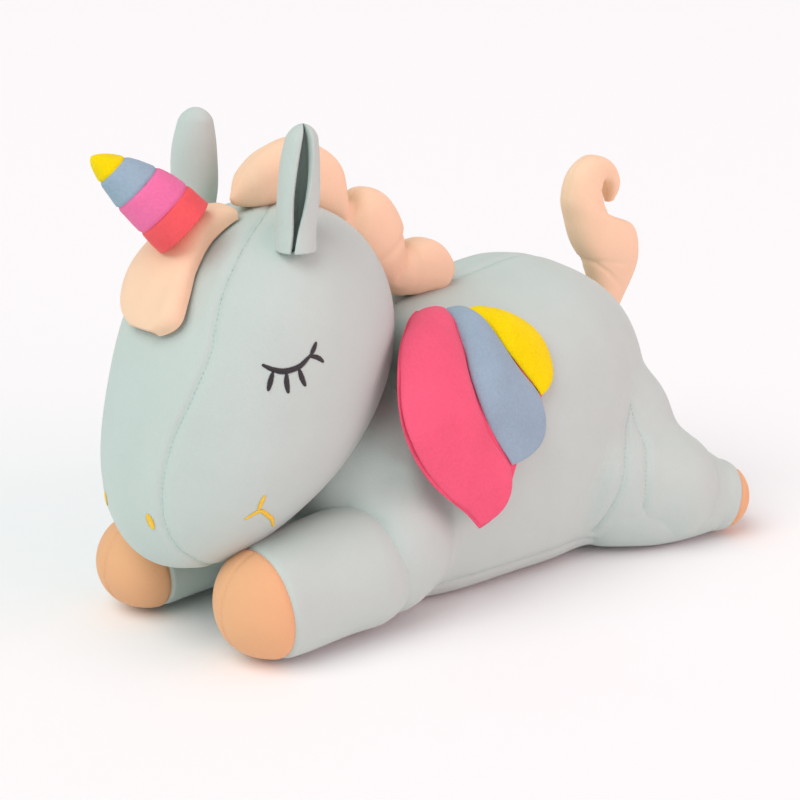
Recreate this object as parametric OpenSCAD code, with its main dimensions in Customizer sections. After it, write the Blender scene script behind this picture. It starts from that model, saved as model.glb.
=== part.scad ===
// Plush unicorn lying on its belly: sewn velour skins over soft filling.
// Nose towards -Y, the animal's left side towards +X, resting on Z = 0.

/* [Fabric] */
// Thickness of the velour, pile included
fabric = 1.6; // [1.2:0.1:1.8]
// Space between a skin and the filling behind it
slack = 0.3; // [0.2:0.1:0.4]
// Space round each limb's socket in the trunk
play = 4; // [3.5:0.5:4.5]

/* [Head] */
// Head's centre ahead of the middle of the animal
head_ahead = 142; // [141:1:143]
// Head's centre above the ground
head_up = 158; // [157:1:160]
// Half the head's length, crown to muzzle
head_long = 126; // [124:1:127]
// Half the head's depth, brow to throat
head_deep = 83; // [81:1:84]
// Half the head's width, cheek to cheek
head_wide = 86; // [83:1:88]
// Slope of the head, muzzle down, in degrees
head_tilt = 53; // [52:1:54]
// How much slimmer the muzzle is than the crown
muzzle_slim = 0.2; // [0.15:0.01:0.22]
// How square the crown is between the ears
crown_square = 0.25; // [0.1:0.05:0.3]

/* [Horn] */
// Length of the horn, base to tip
horn_long = 66; // [60:1:70]
// Radius of the horn at its base
horn_r = 21; // [20:1:22]
// Droop of the horn's tip
horn_droop = 7; // [0:1:10]
// Lean of the horn to the animal's right, in degrees
horn_lean = 20; // [0:5:25]

/* [Ears] */
// Height of an ear
ear_high = 62; // [58:1:66]
// Distance of an ear from the midline
ear_out = 55; // [53:1:57]
// Direction an ear opens in, from straight ahead
ear_turn = 60; // [45:5:80]

/* [Trunk] */
// Rearmost point of the rump
rump_y = 228; // [224:1:230]
// Height of the rump's rearmost point
rump_z = 92; // [88:1:96]
// How far the belly is pressed flat by its weight
belly_press = 14; // [10:1:16]

/* [Legs] */
// Radius of a foreleg at its root
foreleg_r = 41; // [39:1:42]
// Radius of a foreleg at its hoof
fore_hoof_r = 36; // [34:1:37]
// Radius of a hind leg at its thigh
hindleg_r = 49; // [47:1:50]
// Radius of a hind leg at its hoof
hind_hoof_r = 29; // [27:1:31]

/* [Wings] */
// Thickness of a wing's padding at its middle
wing_puff = 9; // [6:1:9]

/* [Mane, forelock and tail] */
// Half the thickness of the mane
mane_half = 17; // [14:1:18]
// Thickness of the forelock's filling
forelock_puff = 10; // [7:1:10]
// Half the thickness of the tail at its bulb
tail_half = 16; // [13:1:17]

/* [Hidden] */
skin_in = fabric + slack;
head_at = [0, -head_ahead, head_up];
head_down = [0, -cos(head_tilt), -sin(head_tilt)];
head_brow = [0, -sin(head_tilt), cos(head_tilt)];

// Half-angle of the face gusset every 15 degrees, throat (-60) to crown (150)
gusset_half = [0.4, 9, 18, 24, 27, 25.5, 24, 24.5, 27.5, 32, 33, 25.5, 18, 10, 0.4];
gusset_from = -60;
gusset_to = 150;
gusset_step = 15;

// Trunk half-width and height every 44 mm, from just behind the forelegs to the hips
trunk_from = -70;
trunk_to = 150;
trunk_keys = [[82, 178], [95, 189], [102, 196], [103, 202], [97, 210], [86, 206]];
// Front edge of the trunk from its belly round to its back
trunk_edge = [-74, -71, -70, -46, -26];
trunk_core = [-40, 130];
core_z = 97;
rump_from = 95;
belly_seam = -33;

// Limbs: root centre, far end, root radius, end radius, hoof seam (0 to 1)
// The right foreleg lies a little further in and further forward than the left.
left_foreleg = [[61, -112, 41], [61, -167, 34.5], foreleg_r, fore_hoof_r, 0.72];
right_foreleg = [[57, -118, 41], [54, -183, 30.5], foreleg_r, fore_hoof_r - 4, 0.72];
hindleg = [[67, 130, 48], [110, 208, 27.5], hindleg_r, hind_hoof_r, 0.79];
sockets = [
    for (leg = [left_foreleg, right_foreleg], side = [-1, 1])
        [[side * leg[0][0], leg[0][1], leg[0][2]], foreleg_r + play],
    for (side = [-1, 1], t = [0:0.25:0.75])
        let (at = mix(hindleg[0], hindleg[1], t))
        [[side * at[0], at[1], at[2]], mix(hindleg_r, hind_hoof_r, t) + play + 2]
];
// Width over which the trunk's skin eases out again round a socket
socket_rim = 18;

// Mane: line along the head and back, line over the humps, both [y, z]
mane_low = [[-141, 277], [-122, 280], [-98, 279], [-76, 271], [-56, 255], [-43, 238],
    [-32, 223], [-20, 214], [-3, 211], [16, 211], [34, 213]];
mane_high = [[-145, 284], [-130, 307], [-103, 314], [-74, 306], [-57, 281], [-38, 276],
    [-15, 266], [-8, 243], [14, 237], [34, 228], [36, 215]];

// Tail: rear and front edges from the base to the curled tip, both [y, z]
tail_rear = [[212, 163], [228, 176], [233, 195], [227, 219], [198, 231], [189, 245],
    [190, 254], [195, 253], [198, 247], [199, 238]];
tail_front = [[199, 172], [184, 190], [169, 211], [160, 228], [155, 245], [161, 266],
    [178, 277], [197, 273], [209, 257], [207, 240]];

// Wing: the curve it hangs in, [x, z], and the lines that divide it, [y, distance down]
wing_hang = [[44, 196], [68, 190], [89, 171], [103, 145], [110, 115], [115, 85], [119, 55]];
wing_drop = 174;
wing_lines = [
    [[-38, 5], [-78, 44], [-93, 84], [-80, 121], [-48, 154]],
    [[-15, 12], [-27, 42], [-35, 74], [-31, 101], [-15, 127]],
    [[0, 17], [1, 38], [5, 64], [20, 91]],
    [[18, 20], [30, 38], [37, 55], [38, 73]]
];
wing_tips = [9, 13, 3];

mint = "#cfe5df";
peach = "#fbd9b0";
coral = "#ff5a63";
pink = "#ef6fb0";
blue = "#9db9cc";
yellow = "#ffe01a";
wool = "#f7f7f4";

// ---- Small helpers ----

function mix(a, b, t) = a + (b - a) * t;
function unit(v) = v / norm(v);
function signed_pow(x, k) = sign(x) * pow(abs(x), k);
function inward(p, core, d) = p - d * unit(p - core);

// Smooth curve through evenly spaced keys, t from 0 to 1
function curve(keys, t) =
    let (
        n = len(keys) - 1,
        s = min(max(t, 0), 1) * n,
        i = min(floor(s), n - 1),
        f = s - i,
        a = keys[max(i - 1, 0)],
        b = keys[i],
        c = keys[i + 1],
        e = keys[min(i + 2, n)]
    )
    b + f / 2 * ((c - a) + f * ((2 * a - 5 * b + 4 * c - e) + f * (3 * b - a - 3 * c + e)));

function average(points) = [for (k = [0:2]) [for (p = points) p[k]] * [for (p = points) 1]]
    / len(points);

// Faces of a grid of points; a row index past last_row stands for the closing point
function grid_faces(at, rows, cols, last_row) = [
    for (i = [0:rows - 1], j = [0:cols - 1])
        each i < last_row
            ? [[at(i, j), at(i, j + 1), at(i + 1, j + 1)], [at(i, j), at(i + 1, j + 1), at(i + 1, j)]]
            : [[at(i, j), at(i, j + 1), at(i + 1, j)]]
];
function turned(faces) = [for (f = faces) [f[2], f[1], f[0]]];

// One cut piece of fabric: the surface form(u, v, depth) between two depths.
// place(s, w) gives u and v from the row and column fractions; a ring closes on
// itself, and a closed end gathers its last row in one point.
module panel(form, place, rows, cols, outer, inner, ring = false, gathered = false) {
    last_row = gathered ? rows - 1 : rows;
    width = ring ? cols : cols + 1;
    count = (last_row + 1) * width + (gathered ? 1 : 0);
    at = function(i, j) i > last_row ? count - 1 : i * width + (ring ? j % cols : j);
    point = function(i, j, d) let (uv = place(i / rows, j / cols)) form(uv[0], uv[1], d);
    layer = function(d) [
        for (i = [0:last_row], j = [0:width - 1]) point(i, j, d),
        if (gathered) point(rows, 0, d)
    ];
    outside = layer(outer);
    inside = layer(inner);
    face = grid_faces(at, rows, cols, last_row);
    walls = [
        for (j = [0:cols - 1]) each [[at(0, j + 1), at(0, j), at(0, j) + count],
            [at(0, j + 1), at(0, j) + count, at(0, j + 1) + count]],
        if (!gathered) for (j = [0:cols - 1]) each [
            [at(rows, j), at(rows, j + 1), at(rows, j + 1) + count],
            [at(rows, j), at(rows, j + 1) + count, at(rows, j) + count]],
        if (!ring) for (i = [0:rows - 1]) each [
            [at(i, 0), at(i + 1, 0), at(i + 1, 0) + count],
            [at(i, 0), at(i + 1, 0) + count, at(i, 0) + count],
            [at(i + 1, cols), at(i, cols), at(i, cols) + count],
            [at(i + 1, cols), at(i, cols) + count, at(i + 1, cols) + count]]
    ];
    back = [for (f = turned(face)) [f[0] + count, f[1] + count, f[2] + count]];
    i = floor(rows / 2);
    j = floor(cols / 2);
    across = cross(outside[at(i, j + 1)] - outside[at(i, j)], outside[at(i + 1, j)] - outside[at(i, j)]);
    outwards = across * (outside[at(i, j)] - inside[at(i, j)]) > 0;
    all = concat(face, back, walls);
    polyhedron(concat(outside, inside), outwards ? turned(all) : all);
}

// Soft filling: everything inside form(u, v, depth), closed at both ends, u from 0 to 1.
// A pointed end has no ring of its own; a flat one closes on the point given for it.
module filling(form, rows, cols, depth, first = undef, pointed = [false, true],
        angle = function(w) 360 * w) {
    point = function(i, j) form(i / rows, angle(j / cols), depth);
    row = function(i) [for (j = [0:cols - 1]) point(i, j)];
    from = pointed[0] ? 1 : 0;
    to = pointed[1] ? rows - 1 : rows;
    rings = to - from + 1;
    ends = [is_undef(first) ? average(row(0)) : first, average(row(rows))];
    points = concat([for (i = [from:to]) each row(i)], ends);
    at = function(i, j) i * cols + j % cols;
    tail = rings * cols;
    faces = concat(
        [for (i = [0:rings - 2], j = [0:cols - 1]) each [
            [at(i, j), at(i, j + 1), at(i + 1, j + 1)], [at(i, j), at(i + 1, j + 1), at(i + 1, j)]]],
        [for (j = [0:cols - 1]) each [
            [tail, at(0, j + 1), at(0, j)], [tail + 1, at(rings - 1, j), at(rings - 1, j + 1)]]]
    );
    middle = floor(rings / 2);
    p = points[at(middle, 0)];
    across = cross(points[at(middle, 1)] - p, points[at(middle + 1, 0)] - p);
    outwards = across * (p - average(row(from + middle))) > 0;
    polyhedron(points, outwards ? turned(faces) : faces);
}

// ---- Head ----

// Point on the head: psi turns from the midline to the left cheek, phi round the profile
function head_point(psi, phi, d) =
    let (
        square = 1 - crown_square * pow(max(0, cos(phi - 140)), 2),
        along = head_long * cos(phi),
        deep = head_deep * (1 - muzzle_slim * cos(phi)) * sin(phi),
        p = head_at + signed_pow(cos(psi), square) * (along * head_down + deep * head_brow)
            + [head_wide * signed_pow(sin(psi), square), 0, 0]
    )
    inward(p, head_at, d);

head_form = function(u, v, d) head_point(180 * u - 90, v, d);
face_form = function(psi, phi, d) head_point(psi, phi, d);

function gusset_edge(phi) =
    let (turn = phi > 180 ? phi - 360 : phi)
    turn < gusset_from || turn > gusset_to ? 0.4
        : curve(gusset_half, (turn - gusset_from) / (gusset_to - gusset_from));

module face_gusset() color(mint)
    panel(face_form, function(s, w)
        let (phi = mix(gusset_from, gusset_to, s)) [mix(-1, 1, w) * gusset_edge(phi), phi],
        (gusset_to - gusset_from) / gusset_step, 4, 0, fabric);

module cheek() color(mint)
    panel(face_form, function(s, w) [mix(gusset_edge(360 * w), 90, s), 360 * w],
        6, 360 / gusset_step, 0, fabric, ring = true, gathered = true);

module head_filling() color(wool)
    filling(head_form, 12, 360 / gusset_step, skin_in + 1, pointed = [true, true]);

// Satin stitching on the face: a band along a path of [psi, phi] points, tapered at its ends
module satin(path, width, rows) {
    scale_at = function(p) [1.5, 1.7 * cos(p[0])];
    panel(face_form, function(s, w)
        let (
            p = curve(path, s),
            q = curve(path, s + 0.02) - curve(path, s - 0.02),
            mm = scale_at(p),
            t = [q[0] * mm[0], q[1] * mm[1]],
            n = [-t[1], t[0]] / norm(t),
            half = width * (w - 0.5) * (0.35 + 0.65 * sin(180 * s))
        )
        [p[0] + half * n[0] / mm[0], p[1] + half * n[1] / mm[1]],
        rows, 2, -1.3, -0.1);
}

// Closed eye: the lid's arc, three lashes below it and a forked tick at its outer end
eye_lid = [[56.5, 95.5], [61, 96.5], [66, 99.5], [70, 105.5], [72.5, 113], [73.5, 124]];
eye_lashes = [
    [[62, 94.8], [62.6, 86]], [[68, 99.4], [71.5, 90.5]], [[73, 108.6], [78, 105.5]],
    [[73.6, 126.5], [71.5, 131]], [[75, 126], [78.5, 136]]
];

module eye() color("#1d1b1f") {
    satin(eye_lid, 3.2, 12);
    for (lash = eye_lashes) satin(lash, 2.6, 4);
}

module nostril() color(yellow) satin([[17, 32], [18.5, 28], [19.5, 23]], 7, 5);

mouth_arc = [[52, 2.5], [55, 0.5], [57, -3], [55.5, -13], [52, -22]];
mouth_corner = [[57.6, -0.2], [62, 6.5]];

module mouth() color(yellow) {
    satin(mouth_arc, 2.8, 8);
    satin(mouth_corner, 2.4, 3);
}

// ---- Forelock: a padded tongue on the brow, under the horn ----

lock_from = 130;
lock_to = 86;
// Half-angle of the tongue on the animal's left and on its right, top to bottom
lock_left = [2, 4, 6, 8.5, 11.5, 15, 18, 11];
lock_right = [6, 11, 16, 20, 22.5, 24, 22, 11];
lock_gap = 0.6;
function lock_half(u, v) = v * curve(v > 0 ? lock_left : lock_right, u);

function lock_lift(u, v) =
    forelock_puff * pow(max(0, 1 - v * v), 0.4) * pow(sin(180 * mix(0.04, 0.96, u)), 0.4);

lock_top = function(u, v, d) head_point(lock_half(u, v), mix(lock_from, lock_to, u),
    -(lock_gap + 2 * skin_in + lock_lift(u, v) - d));
lock_under = function(u, v, d) head_point(lock_half(u, v), mix(lock_from, lock_to, u),
    -(lock_gap + fabric - d));
lock_pad = function(u, v, d) head_point(lock_half(u, v), mix(lock_from, lock_to, u),
    -(lock_gap + mix(skin_in + slack + lock_lift(u, v), skin_in, d)));
lock_place = function(s, w) [s, mix(-1, 1, w)];

module forelock_top() color(peach) panel(lock_top, lock_place, 9, 6, 0, fabric);
module forelock_underside() color(peach) panel(lock_under, lock_place, 9, 6, 0, fabric);
module forelock_filling() color(wool) panel(lock_pad, lock_place, 9, 6, 0, 1);

// ---- Horn: four bands of a drooping soft cone ----

horn_base = [0, -185, 268];
horn_rise = 50;
horn_foot = 44;
horn_bands = [0, 0.15, 0.47, 0.76, 1];

function horn_axis(t) = horn_base - [0, 0, horn_droop * t * t] + horn_long * t
    * [-sin(horn_lean), -cos(horn_lean) * cos(horn_rise), cos(horn_lean) * sin(horn_rise)];
horn_form = function(u, v, d)
    let (
        core = horn_axis(min(u, 0.88)),
        r = horn_r * pow(max(0, 1 - pow(u, 1.8)), 0.66),
        p = horn_axis(u) + r * (cos(v) * [1, 0, 0] + sin(v) * [0, sin(horn_foot), cos(horn_foot)])
    )
    inward(p, core, d);

module horn_band(k, tint) color(tint)
    panel(horn_form, function(s, w) [mix(horn_bands[k], horn_bands[k + 1], s), 360 * w],
        k == 3 ? 4 : 2, 14, 0, fabric, ring = true, gathered = k == 3);

module horn_filling() color(wool) filling(horn_form, 8, 14, skin_in + 0.5);

// ---- Mane: three puffy humps along the midline ----

function mane_thick(u) = mane_half * pow(sin(180 * mix(0.02, 0.98, u)), 0.4);
mane_form = function(u, v, d)
    let (
        low = curve(mane_low, u),
        high = curve(mane_high, u),
        mid = (low + high) / 2,
        half = (high - low) / 2,
        thick = mane_thick(u) * min(1, norm(half) / 12),
        rise = signed_pow(sin(v), 0.85),
        side = [thick * signed_pow(cos(v), 0.85), mid[0] + half[0] * rise, mid[1] + half[1] * rise]
    )
    inward(side, [0, mid[0], mid[1]], d);

module mane_side() color(peach)
    panel(mane_form, function(s, w) [mix(0.02, 0.98, s), mix(-90, 90, w)], 26, 6, 0, fabric);

module mane_filling() color(wool)
    filling(function(u, v, d) mane_form(mix(0.02, 0.98, u), v, d), 26, 12, skin_in,
        pointed = [false, false]);

// ---- Ears: a leaf folded lengthwise, open outwards ----

ear_root = [ear_out, -139, 267];
ear_lean = [1, 5, 0];
ear_r = [7, 12, 14, 14, 12.5, 10, 6.5];
ear_wrap = 120;

ear_form = function(u, v, d)
    let (
        open = [sin(ear_turn), -cos(ear_turn), 0],
        across = [cos(ear_turn), sin(ear_turn), 0],
        r = curve(ear_r, u) - d
    )
    ear_root + u * (ear_lean + [0, 0, ear_high])
        + r * (sin(v * ear_wrap) * across - cos(v * ear_wrap) * open);
ear_place = function(s, w) [s, mix(-1, 1, w)];

module ear_back() color(mint) panel(ear_form, ear_place, 8, 8, 0, fabric);
module ear_lining() color(mint) panel(ear_form, ear_place, 8, 8, fabric + 0.1, 2 * fabric + 0.1);

// ---- Trunk: a loaf pressed flat underneath, hollowed where the limbs sit ----

function rump(y) = y < rump_from ? 1
    : pow(max(0, 1 - pow((y - rump_from) / (rump_y - rump_from), 2)), 0.5);

// A trunk point, drawn in towards the core where a limb's socket is in the way
function hollowed(core, p) =
    let (
        reach = norm(p - core),
        ray = (p - core) / reach,
        hits = [for (s = sockets)
            let (to = core - s[0], near = -ray * to, miss = sqrt(to * to - near * near))
            if (near > 0 && miss < s[1] + socket_rim)
                miss < s[1] ? near - sqrt(s[1] * s[1] - miss * miss)
                    : mix(near, reach, (miss - s[1]) / socket_rim)]
    )
    core + ray * min(concat([reach], hits));

trunk_form = function(u, v, d)
    let (
        edge = curve(trunk_edge, (asin(sin(v)) + 90) / 180),
        y = mix(edge, rump_y, sin(90 * u)),
        size = curve(trunk_keys, (y - trunk_from) / (trunk_to - trunk_from)),
        k = rump(y),
        half = (size[1] + belly_press) / 2,
        square = sin(v) < 0 ? 0.62 : 0.83,
        z = size[1] - half + half * signed_pow(sin(v), square),
        p = [size[0] * k * signed_pow(cos(v), square), y, max(0, mix(rump_z, z, k))],
        core = [0, min(max(y, trunk_core[0]), trunk_core[1]), core_z]
    )
    inward(hollowed(core, p), core, d);

trunk_rows = 18;
side_cols = 9;
belly_cols = 8;
trunk_cols = 2 * side_cols + belly_cols;

// Angle round the trunk, left belly seam over the back and under the belly, w from 0 to 1
trunk_angle = function(w)
    let (j = round(w * trunk_cols))
    j < 2 * side_cols ? mix(belly_seam, 90, j / side_cols)
        : mix(180 - belly_seam, 360 + belly_seam, (j - 2 * side_cols) / belly_cols);

module side(from) color(mint)
    panel(trunk_form, function(s, w) [s, mix(from, from + 90 - belly_seam, w)],
        trunk_rows, side_cols, 0, fabric, gathered = true);

module belly() color(mint)
    panel(trunk_form, function(s, w) [s, mix(180 - belly_seam, 360 + belly_seam, w)],
        trunk_rows, belly_cols, 0, fabric, gathered = true);

module trunk_filling() color(wool)
    filling(trunk_form, trunk_rows, trunk_cols, skin_in, first = [0, -45, 92], angle = trunk_angle);

// ---- Tail: a flat padded hook ----

function tail_thick(u) = curve([5, 12, tail_half, tail_half, 13, 11, 10, 9, 8, 6], u);
tail_form = function(u, v, d)
    let (
        rear = curve(tail_rear, u),
        front = curve(tail_front, u),
        mid = (rear + front) / 2,
        half = (front - rear) / 2,
        thick = tail_thick(u) * min(1, norm(half) / 5),
        go = signed_pow(sin(v), 0.85),
        p = [thick * signed_pow(cos(v), 0.85), mid[0] + half[0] * go, mid[1] + half[1] * go]
    )
    inward(p, [0, mid[0], mid[1]], d);

module tail_side() color(peach)
    panel(tail_form, function(s, w) [s, mix(-90, 90, w)], 24, 6, 0, fabric);

module tail_filling() color(wool)
    filling(tail_form, 24, 12, skin_in, pointed = [false, false]);

// ---- Wings: three feathers in a fan, hanging from the back ----

// Place on the hanging sheet of a point q feathers across and r of the way down
function feather_point(q, r) =
    let (
        i = min(floor(q), 2),
        w = q - i,
        a = wing_lines[i],
        b = wing_lines[i + 1],
        chord = b[3] - a[3],
        out = [-chord[1], chord[0]] / norm(chord)
    )
    mix(curve(a, r), curve(b, r), w) + out * wing_tips[i] * sin(180 * w) * pow(r, 3);

function wing_lift(q, r) = wing_puff / 2 * pow(sin(60 * q) * sin(180 * r), 0.4);

function wing_point(q, r, off) =
    let (
        p = feather_point(q, r),
        t = p[1] / wing_drop,
        at = curve(wing_hang, t),
        run = curve(wing_hang, t + 0.01) - curve(wing_hang, t - 0.01),
        n = [-run[1], run[0]] / norm(run)
    )
    [at[0] + n[0] * off, p[0], at[1] + n[1] * off];

wing_front = function(q, r, d) wing_point(q, r, wing_lift(q, r) + skin_in - d);
wing_back = function(q, r, d) wing_point(q, r, -wing_lift(q, r) - skin_in + d);
wing_pad = function(q, r, d) wing_point(q, r, mix(1, -1, d) * (wing_lift(q, r) + slack / 2));

module feather(k, tint) color(tint)
    panel(wing_front, function(s, w) [k + w, s], 9, 4, 0, fabric);
module wing_underside() color(pink)
    panel(wing_back, function(s, w) [3 * w, s], 9, 12, 0, fabric);
module wing_padding() color(wool)
    panel(wing_pad, function(s, w) [3 * w, s], 9, 12, 0, 1);

// ---- Legs: round sleeves with a ball at the root and a two-piece hoof cap ----

// Distance along the leg and radius of the ring at u: a ball, a taper and a round end
function leg_ring(leg, u) =
    let (long = norm(leg[1] - leg[0]))
    u < 0.3 ? [-leg[2] * cos(300 * u), leg[2] * sin(300 * u)]
        : u < 0.7 ? [long * (u - 0.3) / 0.4, mix(leg[2], leg[3], (u - 0.3) / 0.4)]
            : [long + leg[3] * sin(300 * (u - 0.7)), leg[3] * cos(300 * (u - 0.7))];

function leg_point(leg, u, v, d) =
    let (
        ring = leg_ring(leg, u),
        long = norm(leg[1] - leg[0]),
        axis = unit(leg[1] - leg[0]),
        side = unit([-axis[1], axis[0], 0]),
        up = cross(side, axis),
        p = leg[0] + ring[0] * axis + ring[1] * (cos(v) * side + sin(v) * up),
        core = leg[0] + min(max(ring[0], 0), long) * axis
    )
    inward([p[0], p[1], max(p[2], 0)], core, d);

left_fore_form = function(u, v, d) leg_point(left_foreleg, u, v, d);
right_fore_form = function(u, v, d) leg_point(right_foreleg, u, v, d);
hind_form = function(u, v, d) leg_point(hindleg, u, v, d);

// Places of a leg's rings: the ball, the taper, then the hoof from its seam
function leg_places(leg) = concat([for (k = [0:6]) k / 20], [0.43, 0.57, 0.7],
    [for (k = [0:5]) mix(leg[4], 1, k / 5)]);
sleeve_first = 2;
hoof_first = 10;
leg_last = 15;

module sleeve(form, leg) color(mint)
    panel(form, function(s, w) [leg_places(leg)[round(mix(sleeve_first, hoof_first, s))], 360 * w],
        hoof_first - sleeve_first, 16, 0, fabric, ring = true);
module hoof_half(form, leg, from) color(peach)
    panel(form, function(s, w)
        [leg_places(leg)[round(mix(hoof_first, leg_last, s))], from + 180 * w],
        leg_last - hoof_first, 8, 0, fabric, gathered = true);
module leg_filling(form, leg) color(wool)
    filling(function(u, v, d) form(leg_places(leg)[round(leg_last * u)], v, d), leg_last, 16, skin_in,
        pointed = [true, true]);

module right() mirror([1, 0, 0]) children();

face_gusset();
cheek();  // cheek_left
right() cheek();  // cheek_right
head_filling();
eye();  // eye_left
right() eye();  // eye_right
nostril();  // nostril_left
right() nostril();  // nostril_right
mouth();  // mouth_left
right() mouth();  // mouth_right
forelock_top();
forelock_underside();
forelock_filling();
horn_band(0, coral);  // horn_coral_band
horn_band(1, pink);  // horn_pink_band
horn_band(2, blue);  // horn_blue_band
horn_band(3, yellow);  // horn_yellow_tip
horn_filling();
mane_side();  // mane_left
right() mane_side();  // mane_right
mane_filling();
ear_back();  // ear_left_back
ear_lining();  // ear_left_lining
right() ear_back();  // ear_right_back
right() ear_lining();  // ear_right_lining
side(belly_seam);  // side_left
side(90);  // side_right
belly();
trunk_filling();
tail_side();  // tail_left
right() tail_side();  // tail_right
tail_filling();
feather(0, pink);  // wing_left_pink
feather(1, blue);  // wing_left_blue
feather(2, yellow);  // wing_left_yellow
wing_underside();  // wing_left_underside
wing_padding();  // wing_left_padding
right() feather(0, pink);  // wing_right_pink
right() feather(1, blue);  // wing_right_blue
right() feather(2, yellow);  // wing_right_yellow
right() wing_underside();  // wing_right_underside
right() wing_padding();  // wing_right_padding
sleeve(left_fore_form, left_foreleg);  // foreleg_left_sleeve
hoof_half(left_fore_form, left_foreleg, -90);  // foreleg_left_hoof_outer
hoof_half(left_fore_form, left_foreleg, 90);  // foreleg_left_hoof_inner
leg_filling(left_fore_form, left_foreleg);  // foreleg_left_filling
right() sleeve(right_fore_form, right_foreleg);  // foreleg_right_sleeve
right() hoof_half(right_fore_form, right_foreleg, -90);  // foreleg_right_hoof_outer
right() hoof_half(right_fore_form, right_foreleg, 90);  // foreleg_right_hoof_inner
right() leg_filling(right_fore_form, right_foreleg);  // foreleg_right_filling
sleeve(hind_form, hindleg);  // hindleg_left_sleeve
hoof_half(hind_form, hindleg, 90);  // hindleg_left_hoof_outer
hoof_half(hind_form, hindleg, -90);  // hindleg_left_hoof_inner
leg_filling(hind_form, hindleg);  // hindleg_left_filling
right() sleeve(hind_form, hindleg);  // hindleg_right_sleeve
right() hoof_half(hind_form, hindleg, 90);  // hindleg_right_hoof_outer
right() hoof_half(hind_form, hindleg, -90);  // hindleg_right_hoof_inner
right() leg_filling(hind_form, hindleg);  // hindleg_right_filling
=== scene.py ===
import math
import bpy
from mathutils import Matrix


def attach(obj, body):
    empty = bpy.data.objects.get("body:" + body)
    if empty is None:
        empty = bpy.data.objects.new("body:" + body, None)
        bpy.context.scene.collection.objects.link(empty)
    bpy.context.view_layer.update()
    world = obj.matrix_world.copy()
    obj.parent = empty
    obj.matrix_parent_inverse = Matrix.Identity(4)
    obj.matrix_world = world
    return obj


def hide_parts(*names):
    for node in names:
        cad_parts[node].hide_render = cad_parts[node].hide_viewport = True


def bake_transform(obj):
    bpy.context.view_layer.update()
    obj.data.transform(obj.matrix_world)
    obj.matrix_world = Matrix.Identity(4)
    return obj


bl_info = {
    "name": "Plush Unicorn",
    "version": (1, 0, 0),
    "blender": (4, 5, 0),
    "location": "View3D > Sidebar > Plush",
    "description": "Sews and stuffs a lying plush unicorn over its fixed frame, piece by piece",
    "category": "Object",
}

import bpy
import numpy as np
from bpy.props import (
    FloatProperty,
    FloatVectorProperty,
    IntProperty,
    PointerProperty,
)
from mathutils import Vector
from mathutils.bvhtree import BVHTree

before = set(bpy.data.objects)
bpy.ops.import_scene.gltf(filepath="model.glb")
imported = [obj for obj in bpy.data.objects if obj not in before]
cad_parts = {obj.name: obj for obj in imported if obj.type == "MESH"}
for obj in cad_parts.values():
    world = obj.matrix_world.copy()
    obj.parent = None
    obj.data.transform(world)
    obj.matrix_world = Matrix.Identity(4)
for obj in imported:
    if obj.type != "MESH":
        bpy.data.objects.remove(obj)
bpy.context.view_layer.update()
MM = 0.001
SIDES = (("left", 1), ("right", -1))


def paint(code):
    """Linear colour of a six-digit colour code."""
    values = [int(code[i : i + 2], 16) / 255 for i in (0, 2, 4)]
    return tuple(v / 12.92 if v <= 0.04045 else ((v + 0.055) / 1.055) ** 2.4 for v in values)


# ---------------------------------------------------------------- sizes and colours


def size(label, text, mm):
    return FloatProperty(name=label, description=text, default=mm * MM, unit="LENGTH")


def share(label, text, value):
    return FloatProperty(name=label, description=text, default=value)


def angle(label, text, degrees):
    return FloatProperty(
        name=label, description=text, default=math.radians(degrees), unit="ROTATION"
    )


def colour(label, code):
    return FloatVectorProperty(
        name=label, description=f"{label} of the cloth or thread", subtype="COLOR",
        size=3, min=0, max=1, default=paint(code),
    )


class HeadSizes(bpy.types.PropertyGroup):
    ahead: size("Ahead", "Head's centre ahead of the middle of the animal", 142)
    up: size("Up", "Head's centre above the ground", 158)
    long: size("Half Length", "Half the head's length, crown to muzzle", 126)
    deep: size("Half Depth", "Half the head's depth, brow to throat", 83)
    wide: size("Half Width", "Half the head's width, cheek to cheek", 86)
    tilt: angle("Tilt", "Slope of the head, muzzle down", 53)
    slim: share("Slim Muzzle", "How much slimmer the muzzle is than the crown", 0.2)
    square: share("Square Crown", "How square the crown is between the ears", 0.25)


class TrimSizes(bpy.types.PropertyGroup):
    horn_long: size("Horn Length", "Length of the horn, base to tip", 65)
    horn_radius: size("Horn Radius", "Radius of the horn at its base", 20.5)
    horn_droop: size("Horn Droop", "How far the horn's tip hangs", 7)
    horn_lean: angle("Horn Lean", "Lean of the horn to the animal's right", 20)
    horn_rise: angle("Horn Rise", "Slope of the horn above level", 50)
    lock_puff: size("Forelock Puff", "Thickness of the forelock's filling", 12)
    mane_half: size("Mane Half", "Half the thickness of the mane", 19)
    tail_half: size("Tail Half", "Half the thickness of the tail at its bulb", 17)
    ear_high: size("Ear Height", "Height of an ear above the head's seam", 61.5)
    ear_turn: angle("Ear Turn", "Direction an ear opens in, from straight ahead", 60)
    wing_puff: size("Wing Puff", "Thickness of a wing's padding", 11)


class BodySizes(bpy.types.PropertyGroup):
    rump_y: size("Rump", "Rearmost point of the rump", 226)
    rump_z: size("Rump Height", "Height of the rump's rearmost point", 90)
    press: size("Belly Press", "How far the belly is pressed flat by its weight", 14)
    fore_root: size("Foreleg Root", "Radius of a foreleg at its root", 42)
    fore_hoof: size("Fore Hoof", "Radius of a foreleg at its hoof", 38.5)
    hind_root: size("Thigh", "Radius of a hind leg at its thigh", 49)
    hind_hoof: size("Hind Hoof", "Radius of a hind leg at its hoof", 29)


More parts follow.
